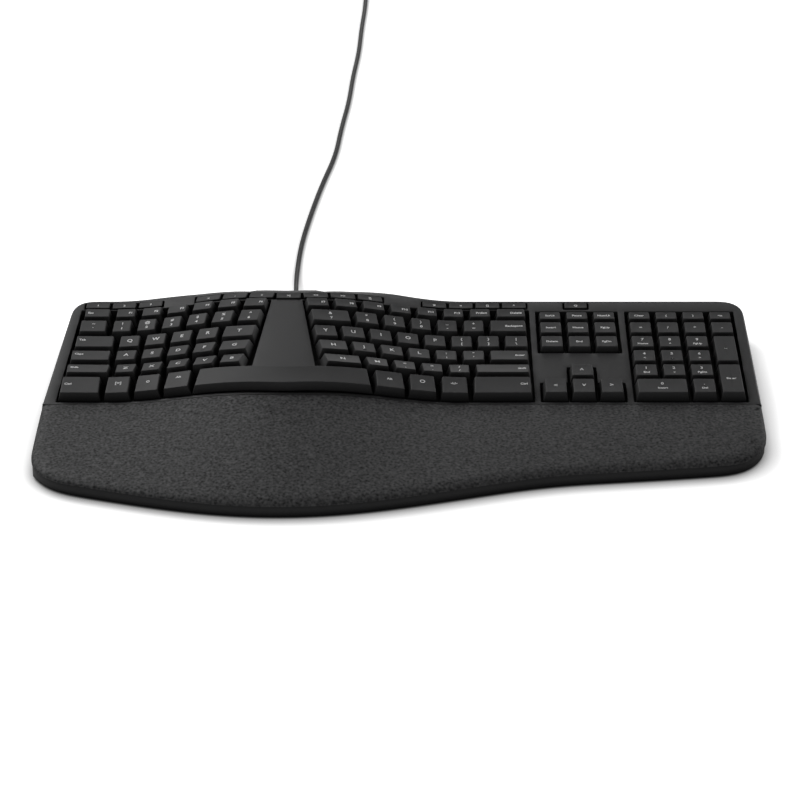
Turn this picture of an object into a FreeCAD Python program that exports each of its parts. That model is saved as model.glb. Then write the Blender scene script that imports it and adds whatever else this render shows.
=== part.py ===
"""Ergonomic keyboard: domed split key field, number pad, cushioned palm rest and cord.

Frame in millimetres: +X to the right of the person who types, +Y away from them, +Z up.
The origin is on the desk, under the middle of the case.
"""
import FreeCAD, Part
import Sketcher
import math
import os

from FreeCAD import Vector

os.makedirs("parts", exist_ok=True)

doc = FreeCAD.newDocument("ergonomic_keyboard")
sheet = doc.addObject("Spreadsheet::Sheet", "dims")

# Driving dimensions: alias, value in mm or degrees, meaning
DRIVING = (
    ("case_half_width", 244.4, "from the middle to the widest point of each side"),
    ("case_slant", 8.0, "how much narrower the left side is at the back"),
    ("case_back", 127.05, "rear edge of the case beside the dome"),
    ("case_back_dip", 4.4, "how far the rear edge draws in behind the dome"),
    ("front_middle", -104.5, "middle line of the wave of the front edge"),
    ("front_swell", 22.5, "height of that wave"),
    ("front_wave", 235.0, "half the length of that wave"),
    ("front_drift", 0.13, "slope of the front edge beyond the wave"),
    ("corner_front", 32.0, "radius of the front corners"),
    ("corner_back", 14.0, "radius of the back corners"),
    ("case_wall", 2.5, "wall of the case mouldings"),
    ("floor_wall", 1.8, "floor of the bottom case"),
    ("foot_high", 1.0, "rubber foot below the floor"),
    ("foot_radius", 7.0, "rubber foot"),
    ("parting_z", 9.0, "top of the bottom case wall"),
    ("case_z", 15.4, "top of the case at the front of the key wells"),
    ("case_rise", 0.10, "slope of the case towards the back"),
    ("palm_edge_z", 12.5, "top of the palm rest along its front edge"),
    ("palm_roll", 9.0, "rolled front edge of the palm rest"),
    ("palm_drop", 2.9, "how far that roll falls"),
    ("seam_gap", 2.6, "bezel between the key wells and the palm rest"),
    ("pad_thick", 3.5, "cushioned skin of the palm rest"),
    ("pad_gap", 0.3, "gap round the cushioned skin"),
    ("split_x", -80.7, "line on which the key field is split"),
    ("split_round", 12.0, "rounding of the dome at that line"),
    ("dome_rise", 17.0, "height of the dome over the flat ends"),
    ("dome_reach", 125.0, "half width of the dome"),
    ("fan_angle", 12.0, "turn of the keys beside the split line"),
    ("fan_reach", 160.0, "distance over which the keys turn"),
    ("key_z", 22.0, "key tops in the middle of the lowest row"),
    ("key_rise", 0.059, "slope of the key tops towards the back"),
    ("row_pitch", 19.0, "distance between rows"),
    ("long_row", 22.0, "depth of the lowest row"),
    ("short_row", 14.0, "depth of the function row"),
    ("function_y", 106.6, "middle of the function row"),
    ("cap_high", 7.0, "key cap from skirt to top"),
    ("cap_gap", 1.4, "gap between two skirts"),
    ("cap_taper", 0.257, "lean of the skirts"),
    ("bar_end_gap", 1.2, "from each end of the space bar to the edge of its cell"),
    ("cap_wall", 1.2, "wall of a key cap"),
    ("travel", 3.0, "key travel"),
    ("stem_wide", 5.0, "square stem under each cap"),
    ("stem_gap", 0.35, "play of a stem in its guide"),
    ("stem_long", 12.0, "from key top to stem end"),
    ("guide_drop", 11.2, "from key tops to the guide plate"),
    ("guide_thick", 1.4, "guide plate"),
    ("sheet_drop", 15.8, "from key tops to the rubber sheet"),
    ("sheet_thick", 0.8, "rubber sheet"),
    ("membrane_thick", 0.3, "membrane circuit"),
    ("backplate_thick", 0.9, "steel back plate"),
    ("well_gap", 0.7, "gap between the outer skirts and the well"),
    ("hot_y", 119.5, "middle of the hot key strip"),
    ("hot_deep", 7.2, "hot key from front to back"),
    ("hot_high", 3.5, "hot key cap"),
    ("hot_proud", 0.8, "hot key above the case"),
    ("hot_travel", 0.8, "hot key travel"),
    ("pad_column", 19.0, "pitch of the number pad and of the keys beside it"),
    ("nav_x", 103.7, "first column of the keys beside the number pad"),
    ("numpad_x", 166.6, "first column of the number pad"),
    ("cord_radius", 1.7, "cord"),
    ("exit_x", -77.0, "where the cord leaves the back"),
    ("exit_z", 15.0, "height of that place"),
    ("relief_long", 24.0, "strain relief outside the case"),
    ("relief_root", 4.4, "radius of the strain relief at the case"),
    ("relief_tip", 2.6, "radius of the strain relief at its end"),
    ("flange_radius", 6.4, "flange of the strain relief in the case"),
    ("flange_thick", 1.4, "thickness of that flange"),
    ("screw_radius", 1.3, "case screw"),
    ("head_radius", 2.6, "head of a case screw"),
    ("head_thick", 1.6, "thickness of that head"),
    ("screw_long", 8.0, "case screw with its head"),
    ("screw_end_gap", 0.4, "room beyond the end of a screw"),
    ("boss_radius", 3.6, "screw boss"),
    ("boss_split", 5.0, "height at which the bosses of both cases meet"),
    ("screw_gap", 0.1, "play of a screw in its boss"),
    ("rib_thick", 1.6, "ribs of the bottom case"),
    ("rib_gap", 0.2, "from the ribs to the back plate"),
    ("board_long", 60.0, "controller board"),
    ("board_deep", 24.0, "controller board"),
    ("board_thick", 1.6, "controller board"),
    ("board_z", 8.0, "underside of the controller board"),
    ("board_y", 58.0, "front edge of the controller board"),
    ("plug_wide", 15.6, "plug grip"),
    ("plug_high", 8.0, "plug grip"),
    ("plug_long", 28.0, "plug grip"),
    ("plug_round", 1.6, "edges of the plug grip"),
    ("shell_wide", 12.0, "plug shell"),
    ("shell_high", 4.5, "plug shell"),
    ("shell_long", 18.7, "plug shell"),
    ("shell_wall", 0.4, "plug shell"),
    ("coil_inner", 12.0, "radius from which each layer of the coil widens"),
    ("coil_climb", 11.2, "radius of the half turn that climbs to the second layer"),
    ("coil_step", 3.9, "distance between turns"),
    ("coil_turns", 3.5, "turns in each of the two layers"),
    ("tie_thick", 0.6, "cable tie"),
    ("tie_wide", 4.0, "cable tie"),
)
for number, (alias, value, meaning) in enumerate(DRIVING, start=1):
    sheet.set("A%d" % number, str(value))
    sheet.setAlias("A%d" % number, alias)
    sheet.set("B%d" % number, meaning)
doc.recompute()


def dim(alias):
    """Value of one driving dimension."""
    return float(sheet.get(alias))


def part(label, shape):
    """Adds a moulded or formed piece, whose sizes were read from the sheet."""
    piece = doc.addObject("Part::Feature", label)
    piece.Shape = shape
    piece.Placement = FreeCAD.Placement()
    piece.Label = label
    PIECES.append(piece)
    return piece


PIECES = []
SPLIT = dim("split_x")
FAR = 400.0
STATIONS = 16


# Forms of the key field

def reach(x):
    """Distance from the split line, rounded near it."""
    return math.hypot(x - SPLIT, dim("split_round"))


def dome(x):
    """Height of the dome over the flat ends."""
    part_way = min(reach(x) / dim("dome_reach"), 1.0)
    return dim("dome_rise") * (1 + math.cos(math.pi * part_way)) / 2


def draw_in(x):
    """How far the rows come forward where the keys are fanned."""
    length = dim("fan_reach")
    near = min(reach(x), length)
    lean = math.tan(math.radians(dim("fan_angle"))) / 2
    return lean * (length - near - length / math.pi * math.sin(math.pi * near / length))


def slope_of(function, x):
    """Slope of one of the forms above."""
    return (function(x + 0.5) - function(x - 0.5))


def key_plane(x, y):
    """Height of the key tops."""
    return dim("key_z") + dim("key_rise") * (y - dim("long_row") / 2) + dome(x)


def case_plane(x, y):
    """Height of the case round the keys."""
    return dim("case_z") + dim("case_rise") * y + dome(x)


def front_edge(x):
    """Front edge of the case in plan."""
    crest = SPLIT + dim("front_wave")
    wave = dim("front_swell") * math.cos(math.pi * (min(x, crest) - SPLIT) / dim("front_wave"))
    return dim("front_middle") - wave + dim("front_drift") * max(x - crest, 0.0)


def back_edge(x):
    """Back edge of the case in plan."""
    near = min(abs(x - SPLIT) / (dim("dome_reach") * 0.6), 1.0)
    return dim("case_back") - dim("case_back_dip") * (1 + math.cos(math.pi * near)) / 2


def curve(points):
    """Smooth curve through points."""
    line = Part.BSplineCurve()
    line.interpolate([Vector(*point) for point in points])
    return line.toShape()


def steps(start, end, count):
    """Even steps from start to end."""
    return [start + (end - start) * i / count for i in range(count + 1)]


# Case outline, decks and surfaces

def outline_solid(inset, low, high):
    """Upright solid on the plan outline of the case, drawn in by inset."""
    left = -dim("case_half_width") + inset
    right = dim("case_half_width") - inset
    front = [(x, front_edge(x) + inset, low) for x in steps(left, right, 10)]
    back = [(x, back_edge(x) - inset, low) for x in steps(left + dim("case_slant"), right, 13)]
    corners = [Vector(*front[-1]), Vector(*back[-1]), Vector(*back[0]), Vector(*front[0])]
    wire = Part.Wire([curve(front), Part.makeLine(corners[0], corners[1]), curve(back),
                      Part.makeLine(corners[2], corners[3])])
    solid = Part.Face(wire).extrude(Vector(0, 0, high - low))
    for corner, radius in zip(corners, ("corner_front", "corner_back", "corner_back", "corner_front")):
        upright = [edge for edge in solid.Edges
                   if all(math.hypot(v.X - corner.x, v.Y - corner.y) < 0.01 for v in edge.Vertexes)]
        solid = solid.makeFillet(dim(radius) - inset, upright)
    return solid


def roll_drop(share):
    """Fall of the rolled front edge, from its inner end at 1 to the outline at 0."""
    return dim("palm_drop") * (1 - math.sqrt(1 - (1 - share) ** 2))


def covered(drop):
    """Solid under the case surface, lowered by drop.

    It bends just behind the palm rest seam and rolls down along its front edge, in two flats.
    The second flat runs on past the outline.
    """
    wires, shoulder = [], 0.4
    past = -1.0
    steep = (roll_drop(0.0) - roll_drop(shoulder)) / shoulder
    for x in steps(-260.0, 260.0, STATIONS):
        bend = seam_y(x) + dim("seam_gap") / 2
        bend_z = case_plane(x, bend)
        fall = (bend_z - dim("palm_edge_z")) / (bend - front_edge(x))
        back_y = 150.0
        points = [Vector(x, back_y, -40), Vector(x, back_y, case_plane(x, back_y) - drop),
                  Vector(x, bend, bend_z - drop)]
        for share, sink in ((1.0, 0.0), (shoulder, roll_drop(shoulder)),
                            (past, roll_drop(shoulder) + steep * (shoulder - past))):
            y = front_edge(x) + dim("palm_roll") * share
            points.append(Vector(x, y, bend_z - fall * (bend - y) - sink - drop))
        points.append(Vector(x, points[-1].y, -40))
        wires.append(Part.makePolygon(points + points[:1]))
    return Part.makeLoft(wires, True, False)


def seam_y(x):
    """Plan line between the bezel and the palm rest."""
    return -dim("well_gap") - dim("seam_gap") - draw_in(x)


def ribbon(left, right, front, back, low=-5.0, high=60.0, lean=0.0):
    """Upright solid between two plan lines that follow the fanned rows."""
    count = max(2, round((right - left) / 32.0))
    ahead = [(x, front - draw_in(x), low) for x in steps(left - lean, right, count)]
    behind = [(x, back - draw_in(x), low) for x in steps(left, right, count)]
    wire = Part.Wire([curve(ahead), Part.makeLine(Vector(*ahead[-1]), Vector(*behind[-1])),
                      curve(behind), Part.makeLine(Vector(*behind[0]), Vector(*ahead[0]))])
    return Part.Face(wire).extrude(Vector(0, 0, high - low))


def layer(drop, thick):
    """Layer that follows the key tops at a given depth below them."""
    start, length = -60.0, 220.0
    above = [(x, start, key_plane(x, start) - drop) for x in steps(-250.0, 250.0, STATIONS)]
    below = [(x, start, z - thick) for x, start, z in above]
    wire = Part.Wire([curve(above), Part.makeLine(Vector(*above[-1]), Vector(*below[-1])),
                      curve(below), Part.makeLine(Vector(*below[0]), Vector(*above[0]))])
    return Part.Face(wire).extrude(Vector(0, length, length * dim("key_rise")))


# Key rows: middle in plan, depth of the cell, lift, tilt of the top and depth of the top

PITCH = dim("row_pitch")
LONG = dim("long_row")
ROW = {
    "function": (dim("function_y"), dim("short_row"), 1.2, 6.0, 9.8),
    "number": (LONG + 3.5 * PITCH, PITCH, 1.2, 6.0, 13.6),
    "upper": (LONG + 2.5 * PITCH, PITCH, 0.0, 5.0, 13.4),
    "home": (LONG + 1.5 * PITCH, PITCH, 0.2, -0.5, 13.4),
    "lower": (LONG + 0.5 * PITCH, PITCH, 1.1, -5.7, 13.4),
    "bottom": (LONG / 2, LONG, 0.6, 7.0, 18.6),
    "pad_function": (dim("function_y") - 1.6, dim("short_row"), 0.0, 3.4, 9.2),
    "pad_4": (LONG + 3.5 * PITCH, PITCH, 0.0, 3.4, 14.0),
    "pad_3": (LONG + 2.5 * PITCH, PITCH, 0.0, 3.4, 14.0),
    "pad_2": (LONG + 1.5 * PITCH, PITCH, 0.0, 3.4, 14.0),
    "pad_1": (LONG + 0.5 * PITCH, PITCH, 0.0, 3.4, 14.0),
    "pad_0": (LONG / 2, LONG, 0.0, 3.4, 17.3),
}

# Cells of the split key field: row, left edge, then the node and the width of each cell
LEFT_FIELD = (
    ("function", -226.5, (("key_escape", 22.3),) + (("keys_function_left", 18.2),) * 5
     + (("keys_function_left", 19.8),)),
    ("number", -228.2, (("keys_number_left", 23.0), ("keys_number_left", 17.5),
                        ("keys_number_left", 17.5), ("keys_number_left", 17.6),
                        ("keys_number_left", 18.0), ("keys_number_left", 18.6),
                        ("keys_number_left", 19.2))),
    ("upper", -229.3, (("key_tab", 30.5), ("keys_upper_left", 18.2), ("keys_upper_left", 18.2),
                       ("keys_upper_left", 18.2), ("keys_upper_left", 18.3),
                       ("keys_upper_left", 25.9))),
    ("home", -230.7, (("key_caps_lock", 30.9), ("keys_home_left", 18.1), ("keys_home_left", 18.0),
                      ("keys_home_left", 18.1), ("keys_home_left", 18.4),
                      ("keys_home_left", 23.5))),
    ("lower", -232.1, (("key_shift_left", 33.4), ("keys_lower_left", 18.1),
                       ("keys_lower_left", 18.0), ("keys_lower_left", 18.2),
                       ("keys_lower_left", 18.6), ("keys_lower_left", 18.9))),
    ("bottom", -233.9, (("key_control_left", 30.6), ("keys_bottom_left", 20.3),
                        ("keys_bottom_left", 20.3), ("key_alt_left", 21.0))),
)
RIGHT_FIELD = (
    ("function", -69.2, (("keys_function_right", 19.6), ("keys_function_right", 19.6),
                         ("keys_function_right", 19.3), ("keys_function_right", 18.7),
                         ("keys_function_right", 18.4), ("keys_function_right", 18.6),
                         ("keys_function_right", 18.8), ("keys_function_right", 24.6))),
    ("number", -65.2, (("keys_number_right", 30.6), ("keys_number_right", 19.5),
                       ("keys_number_right", 18.8), ("keys_number_right", 18.2),
                       ("keys_number_right", 18.4), ("keys_number_right", 18.6),
                       ("key_backspace", 29.5))),
    ("upper", -62.4, (("keys_upper_right", 18.8), ("keys_upper_right", 19.2),
                      ("keys_upper_right", 18.8), ("keys_upper_right", 18.7),
                      ("keys_upper_right", 18.6), ("keys_upper_right", 18.4),
                      ("keys_upper_right", 18.9), ("keys_upper_right", 19.6))),
    ("home", -58.6, (("keys_home_right", 22.6), ("keys_home_right", 19.2),
                     ("keys_home_right", 18.9), ("keys_home_right", 18.7),
                     ("keys_home_right", 18.6), ("keys_home_right", 18.8),
                     ("key_enter", 30.3))),
    ("lower", -54.7, (("keys_lower_right", 28.2), ("keys_lower_right", 18.7),
                      ("keys_lower_right", 18.8), ("keys_lower_right", 18.5),
                      ("keys_lower_right", 18.4), ("key_shift_right", 40.9))),
    ("bottom", -20.3, (("key_alt_right", 23.0), ("keys_bottom_right", 21.5),
                       ("keys_bottom_right", 21.9), ("key_control_right", 42.9))),
)
SPACE_LEFT, SPACE_RIGHT = -141.7, -20.3
COLUMN = dim("pad_column")
NAV = dim("nav_x")
NUMPAD = dim("numpad_x")
HOT_GROUPS = (("keys_hot_left", -225.4, 18.7, 3), ("keys_hot_middle", -146.8, 19.04, 7),
              ("keys_hot_right", 13.0, 18.8, 4), ("keys_hot_right", 113.7, 17.8, 1))


def prism(base, top):
    """Solid with flat faces between two four-cornered faces."""
    faces = [Part.Face(Part.makePolygon(ring + ring[:1])) for ring in (base, top)]
    for i in range(4):
        side = [base[i], base[i - 1], top[i - 1], top[i]]
        faces.append(Part.Face(Part.makePolygon(side + side[:1])))
    solid = Part.Solid(Part.Shell(faces))
    solid.fix(0.001, 0.001, 0.001)
    if solid.Volume < 0:
        solid.reverse()
    return solid


def tapered(wide, deep, low, top_z, top_deep, tilt, taper):
    """Tapered block whose top tilts from front to back by a slope."""
    half, front = wide / 2, deep / 2
    base = [Vector(-half, -front, low), Vector(half, -front, low),
            Vector(half, front, low), Vector(-half, front, low)]
    z_front = top_z - tilt * top_deep / 2
    z_back = top_z + tilt * top_deep / 2
    near = half - taper * (z_front - low)
    away = half - taper * (z_back - low)
    top = [Vector(-near, -top_deep / 2, z_front), Vector(near, -top_deep / 2, z_front),
           Vector(away, top_deep / 2, z_back), Vector(-away, top_deep / 2, z_back)]
    return prism(base, top)


class Key:
    """One key cap: its cell, its frame and its solids."""

    def __init__(self, node, x, y, wide, deep, lift=0.0, tilt=3.4, top_deep=14.0, hot=False):
        self.node = node
        self.x = x
        self.y = y - draw_in(x)
        self.hot = hot
        self.yaw = -math.degrees(math.atan(slope_of(draw_in, x)))
        self.roll = -math.degrees(math.atan(slope_of(dome, x)))
        stretch = math.cos(math.radians(self.yaw)) * math.cos(math.radians(self.roll))
        self.wide = wide / stretch - dim("cap_gap")
        self.deep = deep - dim("cap_gap")
        self.top_deep = top_deep
        self.z = key_plane(x, self.y) + lift
        self.base = dim("cap_high") + lift
        self.tilt = math.tan(math.radians(tilt)) - dim("key_rise")
        self.taper = dim("cap_taper")
        if hot:
            self.z = case_plane(x, self.y) + dim("hot_proud")
            self.base = dim("hot_high")
            self.deep = deep
            self.tilt = dim("case_rise") - dim("key_rise")
            self.taper = 0.12

    def frame(self):
        """Placement of the cap: turned with the fan and rolled with the dome."""
        pitch = math.degrees(math.atan(dim("key_rise")))
        turn = FreeCAD.Rotation(Vector(0, 0, 1), self.yaw)
        turn = turn.multiply(FreeCAD.Rotation(Vector(0, 1, 0), self.roll))
        turn = turn.multiply(FreeCAD.Rotation(Vector(1, 0, 0), pitch))
        return FreeCAD.Placement(Vector(self.x, self.y, self.z), turn)

    def cap(self):
        """Hollow cap in its own frame."""
        wall = dim("cap_wall")
        outer = tapered(self.wide, self.deep, -self.base, 0.0, self.top_deep, self.tilt, self.taper)
        inner = tapered(self.wide - 2 * wall, self.deep - 2 * wall, -self.base, -wall,
                        self.top_deep - 2 * wall, self.tilt, self.taper)
        return outer.cut(inner)

    def upright(self, half, low, high):
        """Square upright post on the key's own axis."""
        post = Part.makeBox(2 * half, 2 * half, high - low, Vector(-half, -half, low))
        turn = FreeCAD.Rotation(Vector(0, 0, 1), self.yaw)
        post.Placement = FreeCAD.Placement(Vector(self.x, self.y, 0), turn)
        return post

    def stem_end(self):
        """Height of the lower end of the stem."""
        return key_plane(self.x, self.y) - dim("stem_long")

    def solid(self):
        """Cap with its stem."""
        cap = self.cap()
        cap.Placement = self.frame()
        stem = self.upright(dim("stem_wide") / 2, self.stem_end(), self.z - dim("cap_wall") * 0.6)
        return cap.fuse(stem)

    def guide_hole(self):
        """Opening of the guide plate for the stem."""
        half = dim("stem_wide") / 2 + dim("stem_gap")
        low = key_plane(self.x, self.y) - dim("guide_drop") - dim("guide_thick") - 3
        return self.upright(half, low, low + 3 * dim("guide_thick") + 4)


def field_keys():
    """Keys of both halves of the split field."""
    keys = []
    for row, left, cells in LEFT_FIELD + RIGHT_FIELD:
        y, deep, lift, tilt, top_deep = ROW[row]
        for node, wide in cells:
            keys.append(Key(node, left + wide / 2, y, wide, deep, lift, tilt, top_deep))
            left += wide
    return keys


def block_key(node, column, row, first, columns=1, rows=1):
    """Key of the straight blocks on the right."""
    y, deep, lift, tilt, top_deep = ROW[row]
    grow = (rows - 1) * PITCH
    x = first + (column + (columns - 1) / 2) * COLUMN
    return Key(node, x, y + grow / 2, columns * COLUMN, deep + grow, lift, tilt, top_deep + grow)


def block_keys():
    """Keys beside the number pad, and the number pad."""
    keys = []
    for row, node in (("pad_function", "keys_lock"), ("pad_4", "keys_insert"),
                      ("pad_3", "keys_delete")):
        keys += [block_key(node, column, row, NAV) for column in range(3)]
    keys.append(block_key("key_up", 1, "pad_1", NAV))
    for column, node in enumerate(("key_left", "key_down", "key_right")):
        keys.append(block_key(node, column, "pad_0", NAV))
    keys += [block_key("keys_pad_clear", column, "pad_function", NUMPAD) for column in range(4)]
    keys += [block_key("keys_pad_signs", column, "pad_4", NUMPAD) for column in range(4)]
    for row, node in (("pad_3", "keys_pad_789"), ("pad_2", "keys_pad_456"),
                      ("pad_1", "keys_pad_123")):
        keys += [block_key(node, column, row, NUMPAD) for column in range(3)]
    keys.append(block_key("key_pad_plus", 3, "pad_2", NUMPAD, rows=2))
    keys.append(tall_enter())
    keys.append(block_key("key_pad_zero", 0, "pad_0", NUMPAD, columns=2))
    keys.append(block_key("key_pad_point", 2, "pad_0", NUMPAD))
    return keys


def tall_enter():
    """Enter key of the number pad, over the two lowest rows."""
    deep = LONG + PITCH
    x = NUMPAD + 3 * COLUMN
    return Key("key_pad_enter", x, deep / 2, COLUMN, deep, 0.0, 3.4, deep - 5.0)


def hot_keys():
    """Small keys in the strip behind the function row."""
    keys = []
    for node, left, wide, count in HOT_GROUPS:
        for i in range(count):
            keys.append(Key(node, left + (i + 0.5) * wide, dim("hot_y"), wide,
                            dim("hot_deep"), top_deep=dim("hot_deep") - 0.7, hot=True))
    return keys


def bar_ends(shift):
    """Blocks beyond both ends of the space bar, square to the fan and leaning with its skirts."""
    y, deep, lift, tilt, top_deep = ROW["bottom"]
    lean = math.degrees(math.atan(dim("cap_taper")))
    blocks = []
    for x, side in ((SPACE_LEFT + dim("bar_end_gap"), 1), (SPACE_RIGHT - dim("bar_end_gap"), -1)):
        block = Part.makeBox(20, 80, 80, Vector(shift - 20 if side > 0 else -shift, -40, -40))
        turn = FreeCAD.Rotation(Vector(0, 0, 1), -math.degrees(math.atan(slope_of(draw_in, x))))
        turn = turn.multiply(FreeCAD.Rotation(Vector(0, 1, 0), side * lean))
        z = key_plane(x, y) - dim("cap_high") - lift - dim("key_rise") * draw_in(x)
        block.Placement = FreeCAD.Placement(Vector(x, y - draw_in(x), z), turn)
        blocks.append(block)
    return blocks


def space_bar():
    """Long curved bar under both halves, hollow, with its stem."""
    y, deep, lift, tilt, top_deep = ROW["bottom"]
    slope = math.tan(math.radians(tilt))
    gap, wall, high = dim("cap_gap") / 2, dim("cap_wall"), dim("cap_high") + lift

    def shell(inset, top):
        wires = []
        for x in steps(SPACE_LEFT - gap + inset, SPACE_RIGHT + gap - inset, 8):
            middle = y - draw_in(x)
            z = key_plane(x, middle) + lift
            half, narrow = deep / 2 - gap - inset, top_deep / 2 - inset
            points = [Vector(x, middle - half, z - high - inset),
                      Vector(x, middle + half, z - high - inset),
                      Vector(x, middle + narrow, z - top + slope * narrow),
                      Vector(x, middle - narrow, z - top - slope * narrow)]
            wires.append(Part.makePolygon(points + points[:1]))
        return Part.makeLoft(wires, True, False)

    bar = shell(0.0, 0.0).cut(bar_ends(0.0)).cut(shell(wall, wall).cut(bar_ends(wall)))
    centre = Key("key_space", SPLIT, y, PITCH, deep, lift, tilt, top_deep)
    stem = centre.upright(dim("stem_wide") / 2, centre.stem_end(), centre.z - wall * 0.6)
    return centre, bar.fuse(stem)


KEYS = field_keys() + block_keys() + hot_keys()
SPACE_KEY, SPACE_SOLID = space_bar()


def make_keys():
    """One node for each single key and for each set of like keys."""
    groups = {}
    for key in KEYS:
        groups.setdefault(key.node, []).append(key.solid())
    for node, solids in groups.items():
        part(node, solids[0] if len(solids) == 1 else Part.makeCompound(solids))
    part("key_space", SPACE_SOLID)


# Key wells in the top case

FIELD_RIGHT = 88.6
LEFT_BACK = LEFT_FIELD[0][1]
LEFT_FRONT = LEFT_FIELD[-1][1]
FUNCTION_END = dim("function_y") + dim("short_row") / 2


def row_end(row):
    """Inner end of a row of the left half."""
    for name, left, cells in LEFT_FIELD:
        if name == row:
            return left + sum(wide for node, wide in cells)
    return 0.0


def centre_panel(high):
    """Smooth panel between the two halves."""
    gap = dim("well_gap")
    behind = (RIGHT_FIELD[0][1] - row_end("function")) / 2 - gap
    ahead = (RIGHT_FIELD[4][1] - row_end("lower")) / 2 - gap
    back_y = FUNCTION_END + 10 - draw_in(SPLIT)
    front_y = -draw_in(SPLIT)
    middle_behind = (RIGHT_FIELD[0][1] + row_end("function")) / 2
    middle_ahead = (RIGHT_FIELD[4][1] + row_end("lower")) / 2
    spread = (ahead - behind) / (4.5 * PITCH) * 10
    corners = [Vector(middle_ahead - ahead - spread / 4, front_y, -5),
               Vector(middle_ahead + ahead + spread / 4, front_y, -5),
               Vector(middle_behind + behind - spread, back_y, -5),
               Vector(middle_behind - behind + spread, back_y, -5)]
    panel = Part.Face(Part.makePolygon(corners + corners[:1])).extrude(Vector(0, 0, high))
    return panel.cut(ribbon(SPACE_LEFT, SPACE_RIGHT, -PITCH, LONG + gap, -6.0, high))


def box_between(x_low, x_high, y_low, y_high, z_low=-5.0, z_high=60.0):
    """Box given by its corners."""
    return Part.makeBox(x_high - x_low, y_high - y_low, z_high - z_low,
                        Vector(x_low, y_low, z_low))


def key_wells():
    """Openings of the top case for all keys."""
    gap = dim("well_gap")
    half = COLUMN / 2
    wells = [ribbon(LEFT_BACK - gap, FIELD_RIGHT + gap, -gap, FUNCTION_END + gap,
                    lean=LEFT_BACK - LEFT_FRONT).cut(centre_panel(80.0))]
    nav_left, nav_right = NAV - half - gap, NAV + 2.5 * COLUMN + gap
    pad_top = ROW["pad_function"][0] + dim("short_row") / 2 + gap
    wells.append(box_between(nav_left, nav_right, LONG + 2 * PITCH - gap, pad_top))
    wells.append(box_between(nav_left, nav_right, -gap, LONG + gap))
    wells.append(box_between(nav_left + COLUMN, nav_right - COLUMN, 0.0, LONG + PITCH + gap))
    wells.append(box_between(NUMPAD - half - gap, NUMPAD + 3.5 * COLUMN + gap, -gap, pad_top))
    for node, left, wide, count in HOT_GROUPS:
        edge = dim("hot_deep") / 2 + gap
        wells.append(ribbon(left - gap / 2, left + wide * count + gap / 2,
                            dim("hot_y") - edge, dim("hot_y") + edge))
    return wells


# Screw places: plan positions clear of the decks
BOSSES = ((-200.0, -62.0), (-80.0, -88.0), (60.0, -66.0), (205.0, -44.0),
          (-158.0, 118.0), (0.0, 117.0), (101.5, 119.0), (215.0, 119.5))


def cylinder(x, y, low, high, radius):
    """Upright cylinder."""
    return Part.makeCylinder(radius, high - low, Vector(x, y, low))


# Mouldings

def make_case():
    """Bottom case, top case and palm rest."""
    wall, foot = dim("case_wall"), dim("foot_high")
    floor_top = foot + dim("floor_wall")
    parting = dim("parting_z")
    outer = outline_solid(0.0, foot, 60.0)
    inner = outline_solid(wall, -5.0, 60.0)

    tray = outer.common(box_between(-FAR, FAR, -FAR, FAR, 0.0, parting))
    tray = tray.cut(inner.common(box_between(-FAR, FAR, -FAR, FAR, floor_top, 80.0)))
    under_plate = layer(dim("sheet_drop") + dim("sheet_thick") + dim("membrane_thick")
                        + dim("backplate_thick") + dim("rib_gap"), 60.0)
    ribs = [box_between(x, x + dim("rib_thick"), 4.0 - draw_in(x), 108.0 - draw_in(x),
                        floor_top - 0.4, 60.0) for x in (-205.0, -150.0, -12.0, 45.0, 120.0, 195.0)]
    ribs = [rib.common(under_plate) for rib in ribs]
    bosses = [cylinder(x, y, floor_top - 0.4, dim("boss_split"), dim("boss_radius"))
              for x, y in BOSSES]
    board_left = dim("exit_x") - dim("board_long") / 2
    posts = [cylinder(board_left + dx, dim("board_y") + dy, floor_top - 0.4, dim("board_z"), 2.5)
             for dx in (4.0, dim("board_long") - 4.0) for dy in (4.0, dim("board_deep") - 4.0)]
    tray = tray.fuse(ribs + bosses + posts)
    tray = tray.cut([cylinder(x, y, 0.0, 20.0, dim("screw_radius") + dim("screw_gap"))
                     for x, y in BOSSES])
    tray = tray.cut([cylinder(x, y, 0.0, foot + dim("head_thick") + dim("screw_gap"),
                              dim("head_radius") + dim("screw_gap")) for x, y in BOSSES])
    part("bottom_case", tray.removeSplitter())

    body = outer.common(covered(0.0))
    body = body.common(box_between(-FAR, FAR, -FAR, FAR, parting, 80.0))
    in_front = ribbon_front(0.0)
    pad_floor = covered(dim("pad_thick"))
    pad = body.common(ribbon_front(dim("pad_gap"))).cut(pad_floor)
    part("palm_rest_pad", pad)

    deck = outline_solid(wall + dim("pad_gap"), dim("boss_split"), parting).common(in_front)
    shell = body.cut(in_front.cut(pad_floor)).fuse(deck)
    hollow = inner.common(covered(wall)).cut(in_front)
    hollow = hollow.fuse(inner.common(covered(dim("pad_thick") + wall)).common(in_front))
    shell = shell.cut(hollow)
    top_bosses = [cylinder(x, y, dim("boss_split"), 60.0, dim("boss_radius")) for x, y in BOSSES]
    skins = [dim("pad_thick") + wall / 2 if y < 0 else wall / 2 for x, y in BOSSES]
    top_bosses = [boss.common(covered(skin)) for boss, skin in zip(top_bosses, skins)]
    shell = shell.fuse(top_bosses)
    shell = shell.cut([cylinder(x, y, 0.0, foot + dim("screw_long") + dim("screw_end_gap"),
                                dim("screw_radius") + dim("screw_gap")) for x, y in BOSSES])
    shell = shell.cut(key_wells())
    exit_hole = Part.makeCylinder(dim("relief_root") + dim("screw_gap"), 30.0,
                                  Vector(dim("exit_x"), dim("case_back") - 20.0, dim("exit_z")),
                                  Vector(0, 1, 0))
    part("top_case", shell.cut(exit_hole))


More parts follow.
